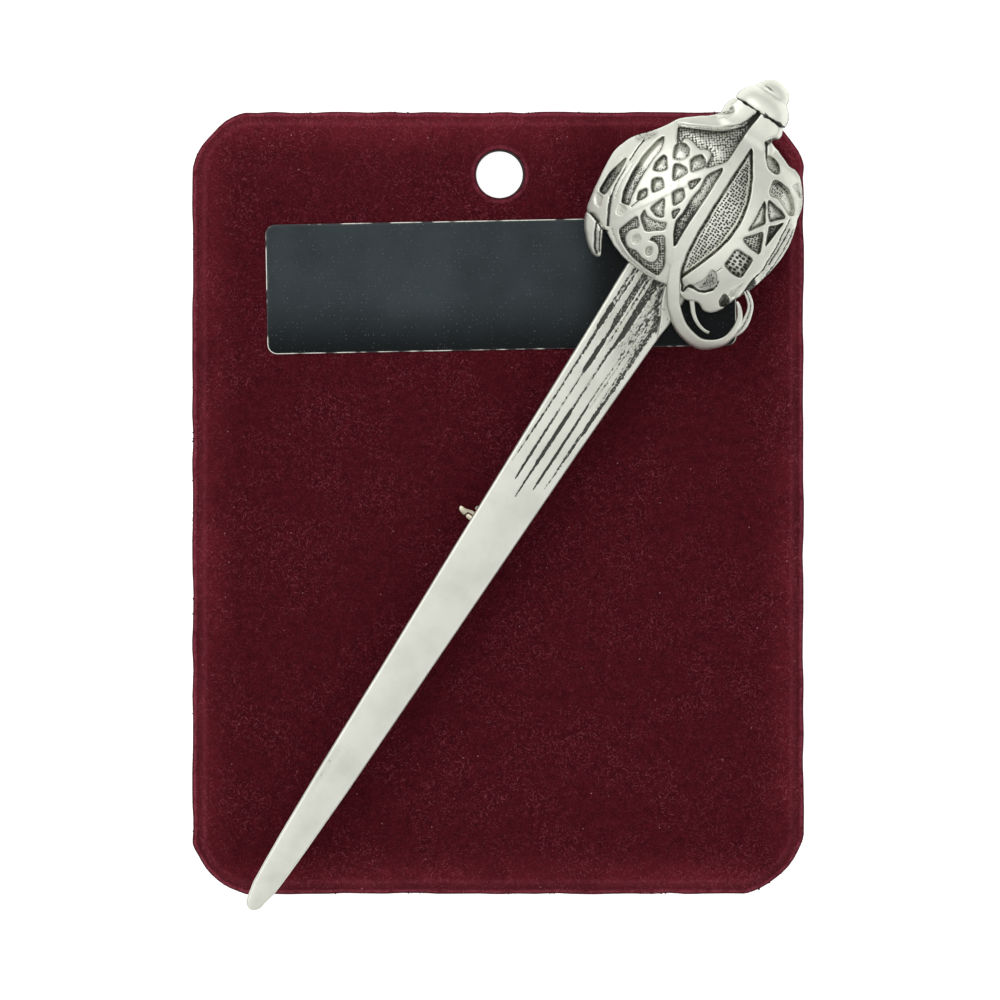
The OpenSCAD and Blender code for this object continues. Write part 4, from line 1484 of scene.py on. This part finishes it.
STRAPS: tuple[Strap, ...] = (
    Strap("guard_ring", ((9.0, -8, 12.4, 0.3), (8.4, -27, 11.4, 0), (11, -44.5, 11.6, 0),
        (15, -59.5, 12.6, 0), (21.7, -73.8, 13.6, 0), (29.5, -86, 13.6, 0), (37.7, -96, 13.2, 0),
        (54, -107.8, 13.2, 0), (75, -111.4, 11.8, 0.05), (88.6, -105, 9.4, 0.1), (97.6, -94.5, 8.0, 0.15),
        (100.4, -81, 7, 0.2), (98.6, -69, 6.2, 0.25), (94, -61.3, 5.2, 0.3), (89.3, -56.7, 4, 0.4),
        (86.4, -55, 2.6, 0.5)), 2.0, 260, 0.32),
    Strap("guard_ring_lip",
        ((88, -41, 5, 1.0), (92.5, -43.6, 5.8, 0.9), (97.5, -47.5, 6, 0.8), (101.4, -52.5, 6.2, 0.7),
        (103.6, -59, 6.8, 0.6), (104.9, -66, 8, 0.55), (105.2, -74, 8, 0.55), (103.8, -82, 6, 0.6),
        (102, -88, 3, 0.8)),
        1.0, 110, 0.5, 0.75),
    Strap("guard_tongue", ((45, -76, 5.5, 1.6), (50, -82, 5.2, 1.55), (56, -89, 4.8, 1.45),
        (63, -94, 4.2, 1.3), (70, -96.7, 3.6, 1.2), (75.7, -97.4, 3.4, 1.1), (80, -96.7, 3.2, 1.1)), 0.8,
        70, 0.5),
)


def tenths(rows: tuple[tuple[float, ...], ...]) -> Array:
    """Turns rows in tenths of a mm to mm."""
    return np.array(rows, dtype=float) / 10


@dataclass
class Fields:
    """What the hilt's tables say at each point of a grid. Lengths are in mm.

    Attributes:
        outline: signed distance to the basket's outline, positive inside.
        leaf: the same for the leaf at its side.
        cut: the same for the nearest window.
        depth, ground, crown, ridge, border: what that window says.
        grain: its pattern's coordinates, one unit for each grain, and the pattern's strength.
        smudge: what the soft patches add to the stain.
    """

    outline: Array
    leaf: Array
    cut: Array
    depth: Array
    ground: Array
    crown: Array
    ridge: Array
    border: Array
    grain: Array
    smudge: Array

    @property
    def whole(self) -> Array:
        """Signed distance to the casting's whole outline in mm."""
        return np.maximum(self.outline, self.leaf)


@dataclass
class Relief:
    """A height field over a grid: its points from the basket's middle in mm, how many rows and
    columns they form, and which of them it keeps, with their height, stain and pattern."""

    points: Array
    shape: tuple[int, int]
    keep: Array
    height: Array
    stain: Array
    grain: Array


@dataclass
class Hilt:
    """The basket hilt: the pierced shell, the ground inside it, the ring and the pommel."""

    sword: SwordFrame
    middle: Pair = (-0.6, 84.3)
    rise: float = 8.0
    rim_radius: float = 11.2
    rim_rise: float = 2.0
    shell: float = 0.85
    ring_radius: float = 17.8
    meet_radius: float = 5.3
    neck_radius: float = 3.45
    neck_power: float = 4.5
    neck_x: float = 0.17
    reach: tuple[float, float, float, float] = (-10.4, 10.4, -9.6, 12.1)
    cell: float = 0.074
    ground_cell: float = 0.1
    edge: float = 0.15
    neck_edge: float = 0.6
    draft: float = 0.12
    wander: float = 0.005
    spread: float = 0.04
    wall_stain: float = 0.66
    ground_gap: float = 0.06
    border_passes: int = 6
    strap_steps: int = 40
    pommel_steps: int = 96
    pommel_rows: int = 110
    pommel_x: float = -0.45
    button_x: float = -0.32
    pommel_lift: float = 1.2

    def __post_init__(self) -> None:
        """Works out the domes: a sphere through the crown and the rim, and a wider one for the ring."""
        above = self.rise - self.rim_rise
        self.dome_radius = (self.rim_radius**2 + above**2) / (2 * above)
        self.dome_middle = self.sword.back_z + self.rise - self.dome_radius
        meet = math.sqrt(self.dome_radius**2 - self.meet_radius**2)
        self.ring_middle = self.dome_middle + meet - math.sqrt(self.ring_radius**2 - self.meet_radius**2)

    def dome(self, x: Array, y: Array) -> Array:
        """Height of the shell's outer sphere over a point, from the basket's middle, in mm."""
        return self.dome_middle + np.sqrt(np.maximum(self.dome_radius**2 - x**2 - y**2, 0.01))

    def ring_dome(self, x: Array, y: Array) -> Array:
        """Height of the wider sphere that the ring follows, in mm."""
        return self.ring_middle + np.sqrt(np.maximum(self.ring_radius**2 - x**2 - y**2, 0.01))

    def skin(self, x: Array, y: Array) -> Array:
        """Height of the whole hilt's skin: the sphere, and the neck's round barrel, which sinks away
        below the sphere. Where they meet they blend as k ln(1 + exp(-gap / k)).

        Args:
            x: places across from the basket's middle in mm.
            y: places along from it in mm.

        Returns:
            Heights in mm.
        """
        sphere = self.dome(x, y)
        across = np.minimum(np.abs(x - self.neck_x) / self.neck_radius, 0.99)
        round_top = self.neck_radius * (1 - across**self.neck_power) ** (1 / self.neck_power)
        barrel = self.sword.back_z + 0.6 + round_top - 5 * (1 - ease(y, 5.5, 9.6))
        blend = 0.3 + 0.5 * ease(y, 7.5, 9.5)
        return np.maximum(sphere, barrel) + blend * np.log1p(np.exp(-np.abs(sphere - barrel) / blend))

    def fields(self, points: Array) -> Fields:
        """Reads the tables at each point.

        Args:
            points: N points from the basket's middle in mm.

        Returns:
            The distances and what the nearest window says.
        """
        points = points + self.waver(points)
        outline = inside_distance(points, corner_cut(tenths(OUTLINE), SILHOUETTE_CUTS), 2.0)
        leaf = inside_distance(points, corner_cut(tenths(LEAF_SIDE), 2), 2.0)
        cut = np.full(len(points), -1.2)
        facts = np.tile([0.0, 0.7, 0.0, 0.0, 0.66], (len(points), 1))
        grain = np.column_stack([points, np.zeros(len(points))])
        for window in WINDOWS:
            gap = inside_distance(points, corner_cut(tenths(window.loop), 2, window.blunt)) + self.spread
            if window is FOOT:
                for x, y, radius in tenths(EYELETS):
                    gap = np.minimum(gap, np.hypot(points[:, 0] - x, points[:, 1] - y) - radius)
            nearer = gap > cut
            cut[nearer] = gap[nearer]
            facts[nearer] = (window.depth, window.ground, window.crown, window.ridge, window.border)
            cos, sin = math.cos(math.radians(window.turn)), math.sin(math.radians(window.turn))
            x, y = (points[nearer] - tenths(window.loop).mean(0)).T
            fan = 1 + window.fan * (y / 7.5) ** 2
            grain[nearer, 0] = (x * cos + y * sin) / window.cell[0] * fan
            grain[nearer, 1] = (y * cos - x * sin) / window.cell[1]
            grain[nearer, 2] = window.bead
        smudge = np.zeros(len(points))
        for patch in SMUDGES:
            gap = inside_distance(points, corner_cut(tenths(patch.loop), 2))
            smudge += patch.stain * ease(gap, -patch.soft, patch.soft)
        return Fields(outline, leaf, cut, *facts.T, grain, smudge)

    def waver(self, points: Array) -> Array:
        """How far hand work on the pattern moved each point: a sum of sine waves, 0.7 to 2.5 mm
        long, that run in random directions.

        Args:
            points: N points from the basket's middle in mm.

        Returns:
            N steps across and along in mm.
        """
        random, count = np.random.default_rng(SEED), 14
        waves = random.normal(0, 1, (count, 2))
        length = random.uniform(0.7, 2.5, count)
        waves *= (2 * math.pi / length / np.linalg.norm(waves, axis=1))[:, None]
        phase = np.sin(points @ waves.T + random.uniform(0, 2 * math.pi, count))
        return phase @ random.normal(0, self.wander, (count, 2))

    def rounded_edge(self, gap: Array, radius: Array | float) -> Array:
        """Drop of a quarter-round edge: r minus the square root of r^2 - (r - gap)^2."""
        into = np.clip(gap / radius, 0, 1)
        return radius * (1 - np.sqrt(np.clip(1 - (1 - into) ** 2, 0, 1)))

    def grid(self, cell: float) -> tuple[Array, tuple[int, int]]:
        """Lays a square grid of points over the hilt.

        Args:
            cell: the grid's step in mm.

        Returns:
            The points from the basket's middle in mm, and the numbers of rows and columns.
        """
        left, right, low, high = self.reach
        x, y = np.meshgrid(np.arange(left, right, cell), np.arange(low, high, cell))
        return np.stack([x.ravel(), y.ravel()], axis=1), x.shape

    def snap(
        self, points: Array, shape: tuple[int, int], gap: Array, low: float, high: float
    ) -> Array:
        """Moves the grid's points that lie near an edge on to it, against the slope of its distance.

        Args:
            points: the grid's points.
            shape: rows and columns of the grid.
            gap: signed distance to the edge in mm, positive inside.
            low: least distance that is moved.
            high: greatest distance that is moved.

        Returns:
            The moved points.
        """
        gap = gap.reshape(shape)
        slope_y, slope_x = np.gradient(gap, self.cell)
        steep = np.maximum(slope_x**2 + slope_y**2, 0.3)
        near = (gap > low) & (gap < high)
        move = np.stack([np.where(near, gap * s / steep, 0).ravel() for s in (slope_x, slope_y)], axis=1)
        return points - np.clip(move, -self.cell, self.cell)

    def strap_height(self, points: Array, found: Fields) -> tuple[Array, Array]:
        """Height and stain of the pierced shell.

        The straps follow the skin, less a quarter-round edge. In a window the height falls to below
        the ground over the draft. Creases and bars follow exp(-(gap/half)^flat).

        Args:
            points: N points from the basket's middle in mm.
            found: what the tables say there.

        Returns:
            Heights in mm and stains from 0 to 1.
        """
        x, y = points.T
        edge = self.edge + (self.neck_edge - self.edge) * ease(y, 9.4, 10.6)
        drop = np.maximum(self.rounded_edge(found.outline, edge), self.rounded_edge(-found.cut, self.edge))
        height = self.skin(x, y) - drop
        fall = ease(found.cut, 0.0, self.draft)
        # Windows that go right through end below the ground.
        through = found.depth > 0.99
        floor = np.where(through, self.shell + 0.2, self.shell * found.depth)
        height = height - fall * np.maximum(floor - edge, 0.02)
        # Painted shade along the rounded edges into deep windows and along the outline, most at the neck.
        stain = 0.42 * ease(found.cut, -0.07, -0.01) * ease(found.depth, 0.3, 0.8)
        stain = np.maximum(stain, ease(-found.outline, -0.12, -0.02) * (0.34 + 0.28 * ease(y, 7.0, 9.0)))
        # Painted shade in the crevice under the pommel, to the left and right of the neck's rib.
        left, right = ease(-x, -0.3, -0.1), ease(x, 0.55, 0.75)
        wavy = y + 0.05 * np.sin(3.1 * x) + 0.03 * np.sin(7.7 * x + 1)
        crevice = left * ease(wavy, 11.76, 11.88) + right * ease(wavy, 11.7, 11.84)
        stain = np.maximum(stain, 0.95 * crevice)
        stain = np.maximum(stain, fall * np.where(through, self.wall_stain, found.ground))
        # The leaf at the side lies a little below the ring's sphere.
        side = (found.leaf > 0) & (found.outline < 0.05)
        pad = self.ring_dome(x, y) - 0.5 - self.rounded_edge(found.leaf, 0.45)
        height = np.where(side, pad, height)
        stain = np.where(side, 0.04, stain)
        moved = points + self.waver(points)
        for crease in CREASES:
            path = tenths(crease.path)
            gap = segment_distance(moved, path[:-1], path[1:])[0].min(1)
            line = np.exp(-((gap / crease.half) ** crease.flat))
            height = height - crease.depth * line * (1 - fall)
            stain = np.maximum(stain, crease.stain * ease(line, 0.2, 0.8))
        return height, np.clip(stain + found.smudge, 0, 1.2)

    def closed_relief(self, name: str, node: str, relief: Relief, material: Material) -> None:
        """Closes a relief into a solid: the grid's kept cells on top, upright walls round them and a
        flat back. The border's points are drawn towards the middle of their two neighbours first.

        Args:
            name: the piece's name.
            node: the CAD node that it replaces.
            relief: the relief.
            material: its finish.
        """
        rows, columns = relief.shape
        i, j = np.meshgrid(np.arange(rows - 1), np.arange(columns - 1), indexing="ij")
        first = i * columns + j
        cell = np.stack([first, first + 1, first + columns + 1, first + columns], -1).reshape(-1, 4)
        used, cell = np.unique(cell[relief.keep[cell].all(1)], return_inverse=True)
        cell = cell.reshape(-1, 4)
        count = len(used)
        start, end = cell.ravel(), np.roll(cell, -1, axis=1).ravel()
        lone = ~np.isin(start * count + end, end * count + start)
        border, place = np.unique(np.concatenate([start[lone], end[lone]]), return_inverse=True)
        low_start, low_end = (count + part for part in np.split(place, 2))
        walls = np.stack([end[lone], start[lone], low_start, low_end], axis=1)
        seen = relief.points[used] + self.middle
        ahead, behind = np.arange(len(border)), np.arange(len(border))
        here, there = np.split(place, 2)
        ahead[here], behind[there] = there, here
        for _ in range(self.border_passes):
            edge = seen[border]
            seen[border] = 0.5 * edge + 0.25 * (edge[ahead] + edge[behind])
        top = np.column_stack([seen, relief.height[used]])
        low = np.column_stack([seen[border], np.full(len(border), self.sword.back_z)])
        stain = np.concatenate([relief.stain[used], np.full(len(border), 0.2)])
        points = self.sword.place(np.concatenate([top, low]))
        faces = np.concatenate([cell, walls])
        piece = make_piece(name, points, faces, material, node, stain, 75)
        grain = np.concatenate([relief.grain[used], relief.grain[used][border]])
        layer = piece.data.attributes.new("grain", "FLOAT_VECTOR", "POINT")
        layer.data.foreach_set("vector", grain.astype(np.float32).ravel())
        closed = bmesh.new()
        closed.from_mesh(piece.data)
        bmesh.ops.holes_fill(closed, edges=[e for e in closed.edges if e.is_boundary], sides=0)
        closed.to_mesh(piece.data)
        closed.free()

    def basket(self, material: Material) -> None:
        """Builds the pierced shell with its neck and side leaf.

        Args:
            material: the pewter.
        """
        points, shape = self.grid(self.cell)
        found = self.fields(points)
        cell = self.cell
        kept = (found.whole > -0.8 * cell) & (points[:, 1] < NECK_TOP)
        inner = np.where(found.outline > cell, found.cut, 9.0)
        points = self.snap(points, shape, found.whole, -0.8 * cell, 0.25 * cell)
        points = self.snap(points, shape, inner, -0.5 * cell, 0.5 * cell)
        found = self.fields(points)
        height, stain = self.strap_height(points, found)
        height = np.maximum(height, self.sword.back_z + 0.3)
        relief = Relief(points, shape, kept, height, stain, found.grain)
        self.closed_relief("basket_shell", "basket", relief, material)

    def ground(self, material: Material) -> None:
        """Builds the bulb inside the shell, which swells up a little in each window and carries the
        pattern's coordinates.

        Args:
            material: the pewter with the shagreen pattern.
        """
        points, shape = self.grid(self.ground_cell)
        found = self.fields(points)
        x, y = points.T
        line = np.exp(-(((found.cut - found.ridge) / 0.075) ** 2)) * (found.ridge > 0)
        swell = found.crown * ease(found.cut, 0.0, 1.1) ** 0.7 + 0.12 * line
        height = self.skin(x, y) - self.shell + self.ground_gap + swell
        # The ground darkens towards its border: patina, with painted shade under the straps' edges.
        border = 1 - ease(found.cut, 0.06, 0.36 + 0.2 * (found.ridge > 0))
        shade = found.ground + (found.border - found.ground) * border + found.smudge - 1.5 * line
        inner = (found.outline > 0.32) & (y < NECK_TOP - 0.05)
        relief = Relief(points, shape, inner, height, shade, found.grain)
        self.closed_relief("grip_ground", "grip", relief, material)

    def build(self, pewter: Material, shagreen: Material, rubbed: Material) -> None:
        """Builds all the hilt's pieces.

        Args:
            pewter: the plain pewter.
            shagreen: the pewter with the shagreen pattern.
            rubbed: the pommel's brighter pewter.
        """
        self.basket(pewter)
        self.ground(shagreen)
        for strap in STRAPS:
            self.strap(strap, pewter)
        self.pommel(rubbed)

    def strap(self, strap: Strap, material: Material) -> None:
        """Builds a strap: a rounded oblong section carried along a smooth path.

        The section is |x/a|^5 + |z/b|^5 = 1, upright, and square to the path seen from above.

        Args:
            strap: its sizes.
            material: its finish.
        """
        rows = np.array(strap.rows, dtype=float)
        rows[:, :3] /= 10
        path = smooth_path(rows, strap.count)
        forward = np.gradient(path[:, :2], axis=0)
        forward /= np.linalg.norm(forward, axis=1)[:, None]
        side = np.stack([forward[:, 1], -forward[:, 0]], axis=1)
        turn = full_turn(self.strap_steps)
        power = 2 / 5
        a = np.sign(np.cos(turn)) * np.abs(np.cos(turn)) ** power / 2
        b = np.sign(np.sin(turn)) * np.abs(np.sin(turn)) ** power / 2
        spread = a[None] * path[:, 2:3]
        x = path[:, :1] + side[:, :1] * spread
        y = path[:, 1:2] + side[:, 1:] * spread
        top = self.ring_dome(x, y) - path[:, 3:4]
        furrow = (np.exp(-((a / 0.14) ** 2)) * (b > 0))[None] * (strap.furrow > 0)
        z = top - strap.thick / 2 + b[None] * strap.thick - 0.12 * furrow
        z = np.maximum(z, self.sword.back_z)
        # Painted shade on the lower flanks, and patina in the furrow.
        dark = np.maximum(strap.stain * ease(-b, -0.3, 0.35)[None], strap.furrow * furrow)
        dark = np.broadcast_to(dark, z.shape)
        points = np.stack([x + self.middle[0], y + self.middle[1], z], axis=-1)
        points = self.sword.place(points.reshape(-1, 3))
        faces = tube_faces(strap.count, len(turn))
        make_piece(strap.name, points, faces, material, "basket", dark.ravel(), 70)

    def pommel(self, material: Material) -> None:
        """Builds the pommel: a profile turned about the sword's middle line, flat at its back. The
        button stands a little off the cap's middle, as it was cast.

        Args:
            material: the pewter.
        """
        # Place along the sword and radius, in mm.
        profile = np.array([
            (96.2, 0.0), (96.2, 2.3), (96.21, 2.75), (96.3, 2.94), (96.6, 3.0), (96.95, 2.96), (97.4, 2.78),
            (97.8, 2.5), (98.1, 2.2), (98.3, 1.98), (98.5, 1.86), (98.75, 1.8), (99.0, 1.7), (99.3, 1.5),
            (99.5, 1.3), (99.7, 1.04), (99.85, 0.76), (99.95, 0.44), (100.0, 0.0),
        ])
        curve = smooth_path(profile, self.pommel_rows)
        curve[:, 1] = np.maximum(curve[:, 1], 0)
        turn = full_turn(self.pommel_steps)
        uneven = 1 + 0.012 * np.sin(3 * turn + 0.6) + 0.008 * np.sin(5 * turn + 2.1)
        radius = curve[:, 1:2] * uneven[None]
        centre = self.pommel_x + (self.button_x - self.pommel_x) * ease(curve[:, :1], 98.0, 99.4)
        x = centre + radius * np.cos(turn)[None]
        y = np.broadcast_to(curve[:, :1], x.shape)
        z = np.maximum(self.sword.back_z + self.pommel_lift + radius * np.sin(turn)[None], self.sword.back_z)
        # A dark seam under the button, a dull rim, specks, and painted shade on the lower flanks and in
        # the crevice at the foot.
        seam = np.exp(-(((y - 98.76 + 0.05 * x) / 0.12) ** 2))
        seam = seam * ease(-x, -0.1, 0.8) * ease(x, -1.9, -1.2) * 0.72
        rim = np.exp(-(((y - 98.4) / 0.16) ** 2)) * 0.3
        speckled = 0.16 * ease(y, 98.5, 98.9) * ease(-x, -0.6, 0.8) + 0.1
        below = -np.sin(turn)[None] * np.ones_like(x)
        flank = 0.6 * ease(below, -0.44, -0.16) * (1 - 0.7 * ease(below, -0.12, 0.3))
        left, right = ease(-x, 0.3, 0.5), ease(x, -0.05, 0.15)
        wavy = 0.06 * np.sin(3.1 * x + 2) + 0.04 * np.sin(7.7 * x) - y
        foot = left * ease(wavy, -96.36, -96.26) * 0.8 + right * ease(wavy, -96.54, -96.38) * 0.8
        stain = np.maximum.reduce([seam, foot, rim, speckled, flank])
        points = self.sword.place(np.stack([x, y, z], axis=-1).reshape(-1, 3))
        faces = tube_faces(len(curve), len(turn))
        make_piece("pommel_cap", points, faces, material, "pommel", stain.ravel(), 60)


# Fittings


@dataclass
class Catch:
    """The catch's lever beside the blade with its knuckle, and the hidden pin behind them."""

    sword: SwordFrame
    level: float = 5.0
    # Outlines in mm across and along the sword, and how thick each part is.
    lever: Loop = (
        (-1.4, 46.25), (-2.9, 46.42), (-3.3, 46.3), (-3.75, 46.16), (-4.22, 46.2), (-4.36, 46.1),
        (-4.3, 45.8), (-4.05, 45.6), (-3.45, 45.48), (-3.36, 45.56), (-3.4, 45.94), (-3.25, 46.02),
        (-1.4, 46.0),
    )
    knuckle: Loop = (
        (-1.4, 45.42), (-2.95, 45.38), (-3.24, 45.44), (-3.32, 45.6), (-3.28, 45.86), (-3.1, 45.92),
        (-1.4, 45.92),
    )
    spring: Loop = (
        (-2.5, 46.6), (-2.92, 46.62), (-2.93, 46.9), (-2.84, 47.12), (-2.5, 47.15),
    )

    def plate(self, name: str, outline: Loop, thick: float, metal: Material) -> None:
        """Builds a flat part: its outline carried upwards, drawn in a little at both faces.

        Args:
            name: the part's name.
            outline: its outline in mm.
            thick: its thickness in mm.
            metal: its finish.
        """
        loop = corner_cut(np.array(outline), 2)
        middle = loop.mean(0)
        low, high = self.level - thick / 2, self.level + thick / 2
        # How much each ring is drawn in, and its height.
        rows = (
            (0.1, low), (0.02, low + 0.05), (0, low + 0.12), (0, high - 0.12), (0.03, high - 0.04),
            (0.12, high),
        )
        rings = [np.column_stack([middle + (loop - middle) * (1 - s), 0 * loop[:, 0] + z]) for s, z in rows]
        points, faces = self.sword.place(np.concatenate(rings)), tube_faces(len(rings), len(loop))
        make_piece(name, points, faces, metal, "catch_lever", sharp=60)

    def build(self) -> None:
        """Builds the catch's parts, and dresses the hidden pin."""
        brass = PlatedBrass().build("plated_brass")
        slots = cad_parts["pin_back"].data.materials
        slots.clear()
        slots.append(brass)
        self.plate("catch_tab", self.lever, 0.7, brass)
        self.plate("catch_knuckle", self.knuckle, 0.6, brass)
        self.plate("catch_spring", self.spring, 0.4, brass)


# Studio


@dataclass(frozen=True)
class Lamp:
    """A square soft light: its name, place and size in metres, and power in watts."""

    name: str
    place: tuple[float, float, float]
    size: float
    power: float


@dataclass
class Studio:
    """White paper, soft light from above and the camera over the card. The room's heights are upward
    parts of a direction, from 0 to 1: its walls end, its roof is full, and it dims at the zenith."""

    frame_mm: float = 101.83
    distance: float = 4.0
    subject_z: float = 0.005
    middle: Pair = (0.000204, -0.00057)
    wall_height: float = 0.12
    roof_height: float = 0.6
    wall_glow: float = 0.5
    roof_glow: float = 1.0
    zenith: float = 0.88
    zenith_dip: float = 0.18
    sensor: float = 36.0
    paper: float = 1.5
    lamps: tuple[Lamp, ...] = (
        Lamp("key", (-0.34, 0.38, 0.6), 0.75, 2.4),
        Lamp("fill", (0.4, -0.2, 0.6), 0.7, 0.6),
    )

    def floor(self) -> None:
        """Lays the paper that the object lies on."""
        mesh = bpy.data.meshes.new("paper")
        corners = [(x * self.paper, y * self.paper, 0) for x, y in ((-1, -1), (1, -1), (1, 1), (-1, 1))]
        mesh.from_pydata(corners, [], [(0, 1, 2, 3)])
        mesh.materials.append(StudioPaper().build("studio_paper"))
        paper = bpy.data.objects.new("paper", mesh)
        bpy.context.scene.collection.objects.link(paper)
        paper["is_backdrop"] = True

    def light(self, lamp: Lamp) -> None:
        """Adds a square soft light that faces the object.

        Args:
            lamp: the light.
        """
        data = bpy.data.lights.new(lamp.name, "AREA")
        data.size = lamp.size
        data.energy = lamp.power
        light = bpy.data.objects.new(lamp.name, data)
        light.location = lamp.place
        direction = np.array(lamp.place) / np.linalg.norm(lamp.place)
        light.rotation_euler = (math.acos(direction[2]), 0, math.atan2(direction[0], -direction[1]))
        bpy.context.scene.collection.objects.link(light)

    def world(self) -> None:
        """Fills the room with soft white light: brightest round the camera, less at the walls."""
        world = bpy.data.worlds.new("room")
        bpy.context.scene.world = world
        world.use_nodes = True
        tree = world.node_tree
        tree.nodes.clear()
        place = add_node(tree, "TexCoord")
        up = add_node(tree, "SeparateXYZ", {0: place.outputs["Generated"]}).outputs["Z"]
        glow = {1: self.wall_height, 2: self.roof_height, 3: self.wall_glow, 4: self.roof_glow}
        sides = add_node(tree, "MapRange", {0: up, **glow})
        dip = add_node(tree, "MapRange", {0: up, 1: self.zenith, 4: self.zenith_dip}, **SOFT)
        level = add_node(tree, "Math", {0: sides, 1: dip}, **MINUS)
        sky = add_node(tree, "Background", {"Color": (1.0, 1.0, 0.99, 1.0), "Strength": level})
        add_node(tree, "OutputWorld", {"Surface": sky})

    def camera(self) -> None:
        """Hangs the camera over the card. Its lens covers the photograph's width at the sword."""
        data = bpy.data.cameras.new("camera")
        data.type = "PERSP"
        data.sensor_width = self.sensor
        data.lens = self.sensor * self.distance / (self.frame_mm * MM)
        data.clip_start, data.clip_end = 0.01, 20
        camera = bpy.data.objects.new("camera", data)
        camera.location = (self.middle[0], self.middle[1], self.distance + self.subject_z)
        bpy.context.scene.collection.objects.link(camera)
        bpy.context.scene.camera = camera

    def build(self) -> None:
        """Sets up the room, the lights and the camera."""
        self.floor()
        self.world()
        for lamp in self.lamps:
            self.light(lamp)
        self.camera()
        bpy.context.scene.view_settings.view_transform = "Standard"


def main() -> None:
    """Builds the classes in order and reports each piece."""
    logging.basicConfig(level=logging.INFO, format="%(message)s", stream=sys.stdout)
    sword = read_sword_frame()
    Studio().build()
    card = Card(sword)
    card.build()
    Label(card).build()
    blade_metal = CastPewter("#CCCDC4", "#B8BAB0", lean=sword.lean, stretch=2.0, cast=0.1)
    Blade(sword).build(blade_metal.build("cast_pewter_blade"))
    plain = CastPewter(lean=sword.lean)
    shagreen = CastPewter("#DADBD1", "#C0C2B8", weave=Weave.SHAGREEN, lean=sword.lean, ragged=1.4)
    rubbed = CastPewter("#DADBD1", "#C8C9BF", lean=sword.lean, polish=0.5)
    Hilt(sword).build(
        plain.build("cast_pewter"), shagreen.build("cast_pewter_shagreen"), rubbed.build("cast_pewter_rubbed")
    )
    Catch(sword).build()


if __name__ == "__main__":
    main()
